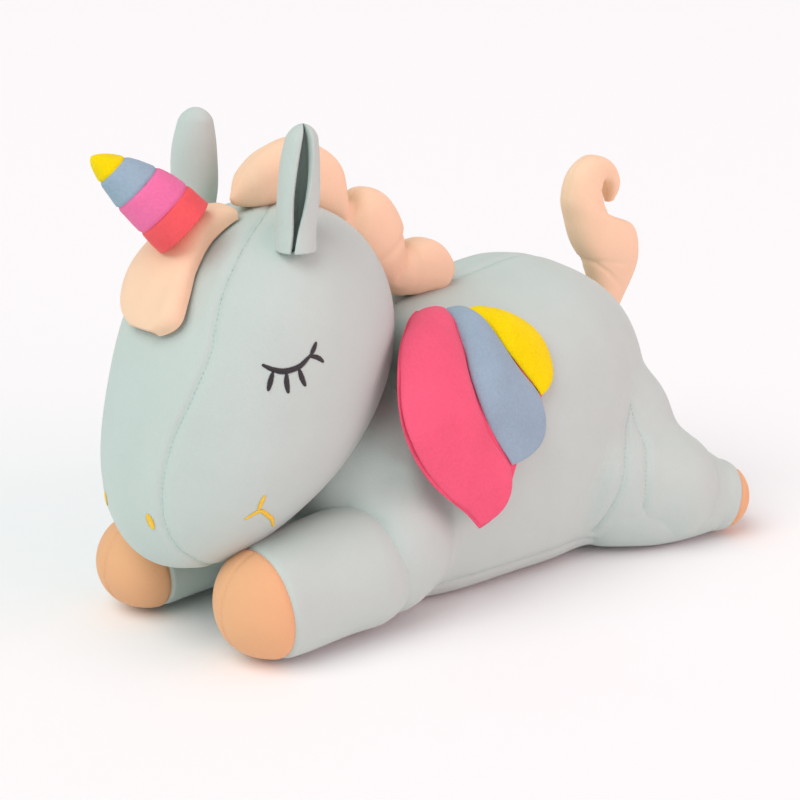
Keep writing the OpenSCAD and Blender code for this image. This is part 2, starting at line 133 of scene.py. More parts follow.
class Sewing(bpy.types.PropertyGroup):
    pitch: size("Stitch Pitch", "Distance from one seam stitch to the next", 3.4)
    stitch: size("Stitch Length", "Length of a seam stitch", 2.1)
    thread: size("Thread", "Thickness of the seam thread", 0.55)
    satin: size("Satin Pitch", "Distance from one satin thread to the next", 0.42)
    groove: size("Groove", "Depth of a seam", 1.3)
    seed: IntProperty(name="Seed", description="Seed of the stitches' unevenness", default=4)


class Stuffing(bpy.types.PropertyGroup):
    pressure: share("Pressure", "Pressure of the filling on the cloth", 4.0)
    give: size("Give", "How far the cloth may swell", 6)
    frames: IntProperty(name="Frames", description="Frames that the cloth settles in", default=20)
    seed: IntProperty(name="Seed", description="Seed of the filling's unevenness", default=7)


class Colours(bpy.types.PropertyGroup):
    mint: colour("Mint", "BFCFC9")
    peach: colour("Peach", "F3D3B2")
    hoof: colour("Hoof", "E4B184")
    coral: colour("Coral", "FF6166")
    horn_pink: colour("Horn Pink", "F079AC")
    blue: colour("Blue", "98B3C4")
    yellow: colour("Yellow", "FFDC00")
    wing_pink: colour("Wing Pink", "F96181")
    wing_back: colour("Wing Back", "EE5A7A")
    black: colour("Black Thread", "15131A")
    gold: colour("Gold Thread", "F2C81E")
    seam: colour("Seam Thread", "A9CFC6")


class Studio(bpy.types.PropertyGroup):
    azimuth: angle("Azimuth", "Direction the camera looks from", 49)
    elevation: angle("Elevation", "Height of the camera's line of sight", 17)
    distance: FloatProperty(
        name="Distance", description="Camera to the animal's middle", default=1.08, unit="LENGTH"
    )
    lens: FloatProperty(
        name="Lens", description="Focal length in millimetres", default=69.0, unit="CAMERA"
    )
    key: share("Key", "Strength of the key light", 1.65)
    fill: share("Fill", "Strength of the warm fill light", 1.7)
    sky: share("Sky", "Strength of the even light all round", 0.52)


class Plush(bpy.types.PropertyGroup):
    head: PointerProperty(type=HeadSizes)
    trim: PointerProperty(type=TrimSizes)
    body: PointerProperty(type=BodySizes)
    sewing: PointerProperty(type=Sewing)
    stuffing: PointerProperty(type=Stuffing)
    colours: PointerProperty(type=Colours)
    studio: PointerProperty(type=Studio)


def plush():
    return bpy.context.scene.plush


# ---------------------------------------------------------------- curves and points


def mix(a, b, t):
    return a + (b - a) * t


def unit(v):
    v = np.asarray(v, float)
    return v / np.linalg.norm(v, axis=-1, keepdims=True)


def signed_pow(x, k):
    return np.sign(x) * np.abs(x) ** k


def full_turn(count):
    """Evenly spaced angles once round."""
    return np.arange(count) / count * 2 * math.pi


def spline(keys, t):
    """Smooth curve through evenly spaced keys, t from 0 to 1."""
    keys = np.asarray(keys, float)
    t = np.asarray(t, float)
    n = len(keys) - 1
    s = np.clip(t, 0, 1) * n
    i = np.minimum(np.floor(s).astype(int), n - 1)
    f = (s - i).reshape(s.shape + (1,) * (keys.ndim - 1))
    a, b = keys[np.maximum(i - 1, 0)], keys[i]
    c, e = keys[i + 1], keys[np.minimum(i + 2, n)]
    return b + f / 2 * ((c - a) + f * ((2 * a - 5 * b + 4 * c - e) + f * (3 * b - a - 3 * c + e)))


def floored(points, soft=5 * MM):
    """Points pressed flat where they would go under the ground, with a rounded edge."""
    points = np.array(points, float)
    z = points[..., 2]
    points[..., 2] = (z + np.sqrt(z * z + soft * soft)) / 2
    return points


def finer(rings, rows, cols):
    """The same closed skin with more rings and more points round each."""
    m = rings.shape[1]
    tall = spline(rings, np.linspace(0, 1, rows))
    turns = np.arange(cols) / cols * m
    i = np.floor(turns).astype(int)
    f = (turns - i)[None, :, None]
    a, b, c, e = (tall[:, (i + k) % m] for k in (-1, 0, 1, 2))
    return b + f / 2 * ((c - a) + f * ((2 * a - 5 * b + 4 * c - e) + f * (3 * b - a - 3 * c + e)))


def ring_normals(rings):
    """Outward directions of a closed skin, ring by ring."""
    across = np.roll(rings, -1, 1) - np.roll(rings, 1, 1)
    along = np.gradient(rings, axis=0)
    n = np.cross(across, along)
    n /= np.maximum(np.linalg.norm(n, axis=2, keepdims=True), 1e-12)
    out = rings - rings.mean(1, keepdims=True)
    return n * (1 if (n * out).sum() > 0 else -1)


# ---------------------------------------------------------------- meshes


def piece(name, points, faces, *materials):
    """A smooth mesh object whose faces point outwards."""
    points = np.asarray(points, float)
    mesh = bpy.data.meshes.new(name)
    mesh.from_pydata([tuple(p) for p in points], [], [tuple(f) for f in faces])
    mesh.update()
    mesh.calc_loop_triangles()
    tri = np.empty(len(mesh.loop_triangles) * 3, np.int32)
    mesh.loop_triangles.foreach_get("vertices", tri)
    a, b, c = points[tri.reshape(-1, 3)].transpose(1, 0, 2)
    if np.einsum("ij,ij->", a, np.cross(b, c)) < 0:
        mesh.flip_normals()
    mesh.shade_smooth()
    for m in materials:
        mesh.materials.append(m)
    obj = bpy.data.objects.new(name, mesh)
    bpy.context.scene.collection.objects.link(obj)
    return obj


def ring_faces(rows, cols):
    """Quads between rings of points, and a fan of triangles to a last point at each end."""
    i, j = np.meshgrid(np.arange(rows - 1), np.arange(cols), indexing="ij")
    k = (j + 1) % cols
    quads = np.stack([i * cols + j, i * cols + k, (i + 1) * cols + k, (i + 1) * cols + j], -1)
    last = rows * cols
    ends = [(last, (j + 1) % cols, j) for j in range(cols)]
    base = (rows - 1) * cols
    ends += [(last + 1, base + j, base + (j + 1) % cols) for j in range(cols)]
    return [tuple(q) for q in quads.reshape(-1, 4).tolist()] + ends


def ring_mesh(rings):
    """Points and faces of a closed skin over rings, gathered in one point at each end."""
    ends = [rings[0].mean(0), rings[-1].mean(0)]
    return np.vstack([rings.reshape(-1, 3), ends]), ring_faces(*rings.shape[:2])


def ring_skin(name, rings, *materials):
    return piece(name, *ring_mesh(rings), *materials)


def ball_faces(n):
    """Directions and faces of a ball made of six n by n squares, without poles."""
    points, faces, seen = [], [], {}
    line = np.tan(np.linspace(-1, 1, n + 1) * math.pi / 4)
    for axis in range(3):
        for side in (-1, 1):
            ids = np.empty((n + 1, n + 1), int)
            for i, a in enumerate(line):
                for j, b in enumerate(line):
                    p = [0.0, 0.0, 0.0]
                    p[axis], p[(axis + 1) % 3], p[(axis + 2) % 3] = side, a * side, b
                    key = tuple(round(x, 6) for x in p)
                    if key not in seen:
                        seen[key] = len(points)
                        points.append(p)
                    ids[i, j] = seen[key]
            for i in range(n):
                for j in range(n):
                    faces.append((ids[i, j], ids[i + 1, j], ids[i + 1, j + 1], ids[i, j + 1]))
    return unit(points), faces


def places(obj):
    co = np.empty(len(obj.data.vertices) * 3)
    obj.data.vertices.foreach_get("co", co)
    return co.reshape(-1, 3)


def move_to(obj, points):
    obj.data.vertices.foreach_set("co", np.asarray(points, float).ravel())
    obj.data.update()


def outward(obj):
    n = np.empty(len(obj.data.vertices) * 3)
    obj.data.vertex_normals.foreach_get("vector", n)
    return n.reshape(-1, 3)


def settle(obj):
    """Turns the object's modifiers into its plain mesh."""
    graph = bpy.context.evaluated_depsgraph_get()
    mesh = bpy.data.meshes.new_from_object(obj.evaluated_get(graph))
    old, name = obj.data, obj.data.name
    obj.modifiers.clear()
    obj.data = mesh
    bpy.data.meshes.remove(old)
    mesh.name = name
    mesh.shade_smooth()
    return obj


def one_skin(name, shapes, voxel, rounds):
    """One closed skin round several overlapping shapes, each a pair of points and faces."""
    points, faces, count = [], [], 0
    for p, f in shapes:
        points.append(p)
        faces += [tuple(int(i) + count for i in face) for face in f]
        count += len(p)
    obj = piece(name, np.vstack(points), faces)
    wrap = obj.modifiers.new("Wrap", "REMESH")
    wrap.mode, wrap.voxel_size = "VOXEL", voxel
    ease = obj.modifiers.new("Ease", "SMOOTH")
    ease.factor, ease.iterations = 0.5, rounds
    return settle(obj)


def subdivided(obj, levels):
    sub = obj.modifiers.new("Finer", "SUBSURF")
    sub.levels = sub.render_levels = levels
    return settle(obj)


def stuff(obj, give=None, pressure=None):
    """Blows the cloth up with its filling, and keeps how far it moves within its give."""
    values = plush().stuffing
    give = values.give if give is None else give
    scene = bpy.context.scene
    start = places(obj)
    cloth = obj.modifiers.new("Filling", "CLOTH").settings
    cloth.quality = 5
    cloth.mass = 0.3
    cloth.use_pressure = True
    cloth.uniform_pressure_force = values.pressure if pressure is None else pressure
    cloth.tension_stiffness = cloth.compression_stiffness = 12
    cloth.bending_stiffness = 0.4
    cloth.effector_weights.gravity = 0
    for frame in range(1, values.frames + 1):
        scene.frame_set(frame)
    swollen = obj.evaluated_get(bpy.context.evaluated_depsgraph_get())
    moved = places(swollen) - start
    obj.modifiers.clear()
    scene.frame_set(1)
    far = np.linalg.norm(moved, axis=1, keepdims=True)
    move_to(obj, start + moved * (give * np.tanh(far / give) / np.maximum(far, 1e-9)))
    return obj


def stuffed_rings(rings, give, pressure=None):
    """A closed skin of rings after stuffing."""
    helper = ring_skin("helper", rings)
    stuff(helper, give, pressure)
    swollen = places(helper)[:-2].reshape(rings.shape)
    bpy.data.objects.remove(helper)
    return swollen


def uneven(points, scale, depth, seed, count=24):
    """A smooth unevenness of about this depth at each point, as loose filling gives."""
    rng = np.random.default_rng(seed)
    waves = rng.normal(size=(count, 3)) / scale
    shift = rng.uniform(0, 2 * math.pi, count)
    return depth * np.sin(np.asarray(points) @ waves.T + shift).sum(-1) / math.sqrt(count)


def lumpy(rings, scale, depth, seed, out=None):
    """A closed skin of rings made a little uneven, along its own outward directions or others."""
    out = ring_normals(rings) if out is None else out
    return rings + out * uneven(rings, scale, depth, seed)[..., None]


# ---------------------------------------------------------------- seams and stitches


def distance_to(points, line, batch=20000):
    """Distance of each point to the nearest of a dense line of points, a batch at a time."""
    best = np.empty(len(points))
    for k in range(0, len(points), batch):
        d = points[k : k + batch, None] - line[None]
        best[k : k + batch] = np.sqrt((d * d).sum(2).min(1))
    return best


def press_seams(obj, seams, depth, width, reach=30 * MM):
    """Draws the skin in along its seams, with a soft swell on either side."""
    line = np.vstack(seams)
    points, out = places(obj), outward(obj)
    near = np.flatnonzero(
        ((points > line.min(0) - reach) & (points < line.max(0) + reach)).all(1)
    )
    d = distance_to(points[near], line)
    drop = -depth * np.exp(-((d / width) ** 2)) + 0.35 * depth * np.exp(
        -(((d - 3.4 * width) / (2.2 * width)) ** 2)
    )
    points[near] += out[near] * drop[:, None]
    move_to(obj, points)


class Surface:
    """A finished skin, for laying lines on."""

    def __init__(self, obj):
        self.tree = BVHTree.FromObject(obj, bpy.context.evaluated_depsgraph_get())

    def lay(self, points, lift=0.0):
        """Nearest places on the skin and its outward directions there."""
        found = [self.tree.find_nearest(Vector(p)) for p in np.asarray(points, float)]
        normals = np.array([f[1] for f in found], float)
        return np.array([f[0] for f in found], float) + normals * lift, normals


def even(line, step):
    """Points along a line at even steps."""
    line = np.asarray(line, float)
    far = np.r_[0, np.cumsum(np.linalg.norm(np.diff(line, axis=0), axis=1))]
    at = np.linspace(0, far[-1], max(2, int(far[-1] / step)))
    return np.stack([np.interp(at, far, line[:, k]) for k in range(3)], 1)


def node_tree(name, inputs):
    """An empty Geometry Nodes tree with named inputs, and its two end nodes."""
    tree = bpy.data.node_groups.new(name, "GeometryNodeTree")
    tree.interface.new_socket("Geometry", in_out="INPUT", socket_type="NodeSocketGeometry")
    for label, kind, value in inputs:
        socket = tree.interface.new_socket(label, in_out="INPUT", socket_type=kind)
        if value is not None:
            socket.default_value = value
    tree.interface.new_socket("Geometry", in_out="OUTPUT", socket_type="NodeSocketGeometry")
    return tree, tree.nodes.new("NodeGroupInput"), tree.nodes.new("NodeGroupOutput")


def thread_ends(tree, start, end, points, rotation, scale, segments, rings):
    """Sets one thread on each point, makes the copies real and gives them their material."""
    add, link = tree.nodes.new, tree.links.new
    thread = add("GeometryNodeMeshUVSphere")
    thread.inputs["Segments"].default_value = segments
    thread.inputs["Rings"].default_value = rings
    thread.inputs["Radius"].default_value = 0.5
    copies = add("GeometryNodeInstanceOnPoints")
    real = add("GeometryNodeRealizeInstances")
    smooth = add("GeometryNodeSetShadeSmooth")
    finish = add("GeometryNodeSetMaterial")
    link(points, copies.inputs["Points"])
    link(thread.outputs["Mesh"], copies.inputs["Instance"])
    link(rotation, copies.inputs["Rotation"])
    link(scale, copies.inputs["Scale"])
    link(copies.outputs["Instances"], real.inputs["Geometry"])
    link(real.outputs["Geometry"], smooth.inputs["Geometry"])
    link(smooth.outputs["Geometry"], finish.inputs["Geometry"])
    link(start.outputs["Thread"], finish.inputs["Material"])
    link(finish.outputs["Geometry"], end.inputs["Geometry"])


def uneven_scale(tree, start, sizes, low, high):
    """A size with a little seeded unevenness."""
    add, link = tree.nodes.new, tree.links.new
    chance = add("FunctionNodeRandomValue")
    chance.data_type = "FLOAT"
    floats = [s for s in chance.inputs if s.type == "VALUE"]
    floats[0].default_value, floats[1].default_value = low, high
    link(start.outputs["Seed"], chance.inputs["Seed"])
    scaled = add("ShaderNodeVectorMath")
    scaled.operation = "SCALE"
    link(sizes, scaled.inputs[0])
    link([s for s in chance.outputs if s.type == "VALUE"][0], scaled.inputs["Scale"])
    return scaled.outputs[0]


def stitch_tree():
    """Single stitches along lines."""
    tree, start, end = node_tree("Seam Stitches", [
        ("Pitch", "NodeSocketFloat", 0.0034), ("Length", "NodeSocketFloat", 0.002),
        ("Thickness", "NodeSocketFloat", 0.0006), ("Seed", "NodeSocketInt", 4),
        ("Thread", "NodeSocketMaterial", None),
    ])
    add, link = tree.nodes.new, tree.links.new
    curve = add("GeometryNodeMeshToCurve")
    points = add("GeometryNodeCurveToPoints")
    points.mode = "LENGTH"
    turn = add("FunctionNodeAlignRotationToVector")
    turn.axis = "Z"
    sizes = add("ShaderNodeCombineXYZ")
    link(start.outputs["Geometry"], curve.inputs["Mesh"])
    link(curve.outputs["Curve"], points.inputs["Curve"])
    link(start.outputs["Pitch"], points.inputs["Length"])
    link(points.outputs["Tangent"], turn.inputs["Vector"])
    link(start.outputs["Thickness"], sizes.inputs["X"])
    link(start.outputs["Thickness"], sizes.inputs["Y"])
    link(start.outputs["Length"], sizes.inputs["Z"])
    scale = uneven_scale(tree, start, sizes.outputs[0], 0.85, 1.12)
    thread_ends(tree, start, end, points.outputs["Points"], turn.outputs[0], scale, 6, 4)
    return tree


def satin_tree():
    """Threads laid side by side across lines, each as wide as the line is there."""
    tree, start, end = node_tree("Satin Stitches", [
        ("Pitch", "NodeSocketFloat", 0.0004), ("Thickness", "NodeSocketFloat", 0.0007),
        ("Seed", "NodeSocketInt", 4), ("Thread", "NodeSocketMaterial", None),
    ])
    add, link = tree.nodes.new, tree.links.new
    curve = add("GeometryNodeMeshToCurve")
    steps = add("GeometryNodeResampleCurve")
    steps.mode = "LENGTH"
    points = add("GeometryNodeCurveToPoints")
    points.mode = "EVALUATED"
    across = add("GeometryNodeInputNamedAttribute")
    across.data_type = "FLOAT_VECTOR"
    across.inputs["Name"].default_value = "across"
    width = add("GeometryNodeInputNamedAttribute")
    width.data_type = "FLOAT"
    width.inputs["Name"].default_value = "width"
    turn = add("FunctionNodeAlignRotationToVector")
    turn.axis = "X"
    sizes = add("ShaderNodeCombineXYZ")
    link(start.outputs["Geometry"], curve.inputs["Mesh"])
    link(curve.outputs["Curve"], steps.inputs["Curve"])
    link(start.outputs["Pitch"], steps.inputs["Length"])
    link(steps.outputs["Curve"], points.inputs["Curve"])
    link(across.outputs["Attribute"], turn.inputs["Vector"])
    link(width.outputs["Attribute"], sizes.inputs["X"])
    link(start.outputs["Thickness"], sizes.inputs["Y"])
    link(start.outputs["Thickness"], sizes.inputs["Z"])
    scale = uneven_scale(tree, start, sizes.outputs[0], 0.94, 1.05)
    thread_ends(tree, start, end, points.outputs["Points"], turn.outputs[0], scale, 6, 6)
    return tree


def shared_tree(name, make):
    return bpy.data.node_groups.get(name) or make()


def sewn(name, lines, tree, values, attributes=None):
    """Runs a stitch tree over lines of points and returns the threads as one plain mesh."""
    mesh = bpy.data.meshes.new(name)
    edges, count = [], 0
    for line in lines:
        edges += [(count + i, count + i + 1) for i in range(len(line) - 1)]
        count += len(line)
    mesh.from_pydata([tuple(p) for p in np.vstack(lines)], edges, [])
    for label, kind, data in attributes or []:
        layer = mesh.attributes.new(label, kind, "POINT")
        layer.data.foreach_set("vector" if kind == "FLOAT_VECTOR" else "value", data.ravel())
    carrier = bpy.data.objects.new(name, mesh)
    bpy.context.scene.collection.objects.link(carrier)
    nodes = carrier.modifiers.new(tree.name, "NODES")
    nodes.node_group = tree
    for item in tree.interface.items_tree:
        if item.in_out == "INPUT" and item.name in values:
            nodes[item.identifier] = values[item.name]
    graph = bpy.context.evaluated_depsgraph_get()
    made = bpy.data.meshes.new_from_object(carrier.evaluated_get(graph))
    bpy.data.objects.remove(carrier)
    if not made.polygons:
        raise RuntimeError(f"{name} came out with no threads")
    threads = bpy.data.objects.new(name, made)
    bpy.context.scene.collection.objects.link(threads)
    return threads


def stitches(name, lines, thread, sewing):
    """A row of small stitches along each line."""
    return sewn(name, lines, shared_tree("Seam Stitches", stitch_tree), {
        "Pitch": sewing.pitch, "Length": sewing.stitch, "Thickness": sewing.thread,
        "Seed": sewing.seed, "Thread": thread,
    })


def seam_stitches(name, obj, seams):
    """Stitches along the seams of a finished skin."""
    s = plush()
    skin = Surface(obj)
    lines = [skin.lay(even(line, 1 * MM), 0.05 * MM)[0] for line in seams]
    return stitches(name, lines, thread_finish("seam thread", s.colours.seam), s.sewing)


def satin(name, skin, paths, thread, sewing, lift=0.25 * MM):
    """Satin stitch along paths on a skin; a path is its points and its greatest width."""
    lines, across, widths = [], [], []
    for points, width in paths:
        line, normals = skin.lay(even(points, 0.5 * MM), lift)
        along = np.gradient(line, axis=0)
        lines.append(line)
        across.append(unit(np.cross(normals, along)))
        s = np.linspace(0, 1, len(line))
        widths.append(width * (0.3 + 0.7 * np.sin(math.pi * mix(0.02, 0.98, s)) ** 0.6))
    return sewn(name, lines, shared_tree("Satin Stitches", satin_tree), {
        "Pitch": sewing.satin, "Thickness": 0.75 * MM, "Seed": sewing.seed, "Thread": thread,
    }, [("across", "FLOAT_VECTOR", np.vstack(across)), ("width", "FLOAT", np.hstack(widths))])


# ---------------------------------------------------------------- materials


def shader(name, **finish):
    """A new material, its tree and its surface node with the given finish."""
    material = bpy.data.materials.new(name)
    material.use_nodes = True
    surface = material.node_tree.nodes["Principled BSDF"]
    for label, value in finish.items():
        surface.inputs[label.replace("_", " ")].default_value = value
    return material, material.node_tree, surface


def noise(tree, scale, detail=2, rough=0.5):
    """A noise that stays with the piece it is on."""
    where = tree.nodes.new("ShaderNodeTexCoord")
    grain = tree.nodes.new("ShaderNodeTexNoise")
    grain.inputs["Scale"].default_value = scale
    grain.inputs["Detail"].default_value = detail
    grain.inputs["Roughness"].default_value = rough
    tree.links.new(where.outputs["Object"], grain.inputs["Vector"])
    return grain.outputs["Fac"]


def arithmetic(tree, operation, *values):
    """A node that reckons with numbers and with the outputs of other nodes."""
    made = tree.nodes.new("ShaderNodeMath")
    made.operation = operation
    for socket, value in zip(made.inputs, values):
        if isinstance(value, float):
            socket.default_value = value
        else:
            tree.links.new(value, socket)
    return made.outputs[0]


def toned(tree, surface, dark, light, factor, height, strength, depth):
    """Colours a surface from dark to light by a factor, and raises it by a height."""
    tone = tree.nodes.new("ShaderNodeMix")
    tone.data_type = "RGBA"
    tone.inputs["A"].default_value = (*dark, 1)
    tone.inputs["B"].default_value = (*light, 1)
    bump = tree.nodes.new("ShaderNodeBump")
    bump.inputs["Strength"].default_value = strength
    bump.inputs["Distance"].default_value = depth
    tree.links.new(factor, tone.inputs["Factor"])
    tree.links.new(tone.outputs["Result"], surface.inputs["Base Color"])
    tree.links.new(height, bump.inputs["Height"])
    tree.links.new(bump.outputs["Normal"], surface.inputs["Normal"])


def velour(name, tint, nap=1150.0, fuzz=0.4, sheen=0.35, mottle=0.06):
    """Short-pile velour: a soft matte nap, faintly mottled, with a bright edge."""
    found = bpy.data.materials.get(name)
    if found:
        return found
    material, tree, surface = shader(
        name, Roughness=0.92, Specular_IOR_Level=0.15, Sheen_Weight=sheen, Sheen_Roughness=0.45,
        Sheen_Tint=(*[mix(c, 1.0, 0.4) for c in tint], 1),
    )
    patches, pile = noise(tree, 34, 4), noise(tree, nap, 3, 0.6)
    half = arithmetic(tree, "MULTIPLY", patches, 0.5)
    both = arithmetic(tree, "MULTIPLY_ADD", pile, 0.5, half)
    dark = [c * (1 - 1.6 * mottle) for c in tint]
    light = [min(1, c * (1 + 0.9 * mottle)) for c in tint]
    toned(tree, surface, dark, light, both, pile, fuzz, 0.6 * MM)
    return material


def brushed(name, tint):
    """Brushed velour with a longer nap that lies in fine streaks."""
    return velour(name, tint, nap=560.0, fuzz=0.9, sheen=0.25, mottle=0.2)


def thread_finish(name, tint, rough=0.45):
    """Polyester thread, faintly glossy, with a fine twist."""
    found = bpy.data.materials.get(name)
    if found:
        return found
    material, tree, surface = shader(name, Roughness=rough, Sheen_Weight=0.2)
    twist = noise(tree, 2600)
    dark = [c * 0.8 for c in tint]
    light = [min(1, c * 1.15 + 0.01) for c in tint]
    toned(tree, surface, dark, light, twist, twist, 0.3, 0.2 * MM)
    return material


def mint():
    return velour("mint velour", plush().colours.mint)


def peach():
    return velour("peach velour", plush().colours.peach)


# ---------------------------------------------------------------- the head

# Where the head is squarest, round its profile from the muzzle
CROWN = math.radians(140)


def head_axes():
    """The head's centre, and its directions from crown to muzzle and from throat to brow."""
    h = plush().head
    down = np.array([0, -math.cos(h.tilt), -math.sin(h.tilt)])
    brow = np.array([0, -math.sin(h.tilt), math.cos(h.tilt)])
    return np.array([0, -h.ahead, h.up]), down, brow


def head_point(psi, phi, lift=0.0):
    """Point on the head in degrees: psi from the midline to the left cheek, phi round the profile."""
    h = plush().head
    psi, phi = np.radians(psi), np.radians(phi)
    centre, down, brow = head_axes()
    square = 1 - h.square * np.maximum(0, np.cos(phi - CROWN)) ** 2
    fore = signed_pow(np.cos(psi), square)
    along = fore * (h.long + lift) * np.cos(phi)
    deep = fore * (h.deep * (1 - h.slim * np.cos(phi)) + lift) * np.sin(phi)
    aside = (h.wide + lift) * signed_pow(np.sin(psi), square)
    left = np.array([1, 0, 0])
    return centre + along[..., None] * down + deep[..., None] * brow + aside[..., None] * left


# Half-angle of the face gusset every 15 degrees, from the throat to the crown
GUSSET = [0.4, 9, 18, 24, 27, 25.5, 24, 24.5, 27.5, 32, 33, 25.5, 18, 10, 0.4]
GUSSET_ENDS = (-60, 150)


def gusset_line(side):
    s = np.linspace(0, 1, 240)
    return head_point(side * spline(GUSSET, s), mix(*GUSSET_ENDS, s))


class PLUSH_OT_head(bpy.types.Operator):
    """Head: the face gusset between two cheeks, stuffed as one skin, with its sewn seams"""

    bl_idname = "plush.head"
    bl_label = "Head"

    def execute(self, context):
        s = plush()
        directions, faces = ball_faces(30)
        _, down, brow = head_axes()
        psi = np.degrees(np.arcsin(np.clip(directions[:, 0], -1, 1)))
        phi = np.degrees(np.arctan2(directions @ brow, directions @ down))
        # a little small at first, because the filling swells it
        head = piece("head_skin", head_point(psi, phi, -1.5 * MM), faces, mint())
        stuff(head, give=2.5 * MM)
        subdivided(head, 2)
        points, out = places(head), outward(head)
        move_to(head, points + out * uneven(points, 0.03, 0.7 * MM, s.stuffing.seed)[:, None])
        skin = Surface(head)
        seams = [skin.lay(gusset_line(side))[0] for _, side in SIDES]
        back = np.linspace(150, 300, 160)
        seams.append(skin.lay(head_point(0 * back, back))[0])
        press_seams(head, seams, s.sewing.groove, width=1.9 * MM)
        sewn_in = seam_stitches("head_stitches", head, seams)
        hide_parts("face_gusset", "cheek_left", "cheek_right", "head_filling")
        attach(head, "head")
        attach(sewn_in, "head")
        return {"FINISHED"}


# Face embroidery in degrees on the head: (points as [psi, phi], width in mm)
EYE = [
    ([[56.5, 95.5], [61, 96.5], [66, 99.5], [70, 105.5], [72.5, 113], [73.5, 124]], 4.0),
    ([[62, 95.5], [62.3, 91], [62.6, 86]], 3.6),
    ([[68, 100], [69.5, 95.5], [71.5, 90.5]], 3.6),
    ([[72.4, 109.2], [75, 107.2], [78, 105.5]], 3.6),
    ([[73.4, 123], [72.8, 127], [71.5, 131]], 3.3),
    ([[73.6, 122.5], [75.8, 129], [78.5, 136]], 3.3),
]
NOSTRIL = [([[16.6, 33.5], [17.6, 30.5], [18.4, 27]], 6.2)]
MOUTH = [
    ([[52.5, 3.2], [55.5, 0.4], [57.4, -4], [56.4, -13], [53.5, -23.5], [47.8, -32]], 3.3),
    ([[57.2, -1], [59.6, 3], [62, 6.5]], 3.0),
]


class PLUSH_OT_face(bpy.types.Operator):
    """Face: closed eyes, nostrils and mouth in satin stitch"""

    bl_idname = "plush.face"
    bl_label = "Face Embroidery"

    def execute(self, context):
        s = plush()
        skin = Surface(bpy.data.objects["head_skin"])
        threads = (
            ("eye", EYE, thread_finish("black thread", s.colours.black, 0.4), "eye_thread"),
            ("nostril", NOSTRIL, thread_finish("gold thread", s.colours.gold), "gold_thread"),
            ("mouth", MOUTH, thread_finish("gold thread", s.colours.gold), "gold_thread"),
        )
        for name, side in SIDES:
            for part, paths, thread, slot in threads:
                lines = []
                for keys, width in paths:
                    keys = spline(keys, np.linspace(0, 1, 60))
                    lines.append((head_point(side * keys[:, 0], keys[:, 1]), width * MM))
                sewn_on = satin(f"{part}_{name}_satin", skin, lines, thread, s.sewing)
                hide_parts(f"{part}_{name}")
                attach(sewn_on, "head")
        return {"FINISHED"}


# Half-angle of the tongue on the animal's left and on its right, top to bottom
LOCK_LEFT = [3, 3, 3.5, 5.5, 8.5, 12.5, 16.5, 17]
LOCK_RIGHT = [7, 12, 17, 22, 25, 26, 25, 20]
LOCK_ENDS = (132, 88.5)


class PLUSH_OT_forelock(bpy.types.Operator):
    """Forelock: a padded tongue on the brow that the horn stands on"""

    bl_idname = "plush.forelock"
    bl_label = "Forelock"

    def execute(self, context):
        s = plush()
        rows, half = 34, 18
        u = np.linspace(0, 1, rows)[:, None]
        v = np.cos(np.linspace(0, math.pi, half, endpoint=False))[None]
        wide = np.where(v > 0, spline(LOCK_LEFT, u), spline(LOCK_RIGHT, u))
        wide = wide * (1 - 0.5 * np.clip((u - 0.76) / 0.24, 0, 1) ** 4)
        phi = mix(*LOCK_ENDS, u)
        rise = np.maximum(0, 1 - v * v) ** 0.34 * np.sin(math.pi * mix(0.02, 0.98, u)) ** 0.34
        puff = s.trim.lock_puff * (1 + 0.22 * np.sin(5.5 * u + 2 * v) * u)
        top = head_point(v * wide, phi + 0 * v)
        out = unit(top - head_axes()[0])
        over = top + out * (0.4 * MM + 2.6 * MM * rise + puff * rise)[..., None]
        under = top + out * (0.4 * MM - 0.6 * MM * rise)[..., None]
        # the lower right corner of the tongue turns out in a small lip
        lip = np.exp(-(((u - 0.86) / 0.16) ** 2) - ((v - 0.75) / 0.35) ** 2)
        over = over + out * (4.5 * MM * lip)[..., None]
        under = under + out * (3.0 * MM * lip)[..., None]
        rings = np.concatenate([over, under[:, ::-1]], 1)
        rings = finer(stuffed_rings(rings, give=2 * MM, pressure=2.5), rows=120, cols=150)
        rings = lumpy(rings, scale=0.009, depth=0.5 * MM, seed=11)
        lock = ring_skin("forelock_pad", rings, peach())
        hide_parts("forelock_top", "forelock_underside", "forelock_filling")
        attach(lock, "head")
        return {"FINISHED"}


HORN_ROOT = [0, -186, 270]
# Cloth, node, share of the horn's length from and to, and slot of each band
HORN_BANDS = (
    ("coral", "coral_band", 0.0, 0.15, "coral_velour"),
    ("horn_pink", "pink_band", 0.15, 0.47, "horn_pink_velour"),
    ("blue", "blue_band", 0.47, 0.76, "blue_velour"),
    ("yellow", "yellow_tip", 0.76, 1.0, "yellow_velour"),
)


def horn_rings(u, cols, lift):
    """Rings of the drooping horn at the shares u of its length."""
    t = plush().trim
    go = np.array([
        -math.sin(t.horn_lean), -math.cos(t.horn_lean) * math.cos(t.horn_rise),
        math.cos(t.horn_lean) * math.sin(t.horn_rise),
    ])
    axis = np.array(HORN_ROOT) * MM + np.outer(t.horn_long * u, go)
    axis[:, 2] -= t.horn_droop * u * u
    axis[:, 1] -= 0.4 * t.horn_droop * u * u
    r = t.horn_radius * np.maximum(0, 1 - np.maximum(u, 0) ** 1.8) ** 0.66 + lift
    v = full_turn(cols)
    aside = unit([math.cos(t.horn_lean), 0, math.sin(t.horn_lean)])
    aside = unit(aside - go * (aside @ go))
    side = np.outer(np.cos(v), aside) + np.outer(np.sin(v), np.cross(go, aside) * -1)
    return axis[:, None] + r[:, None, None] * side[None]


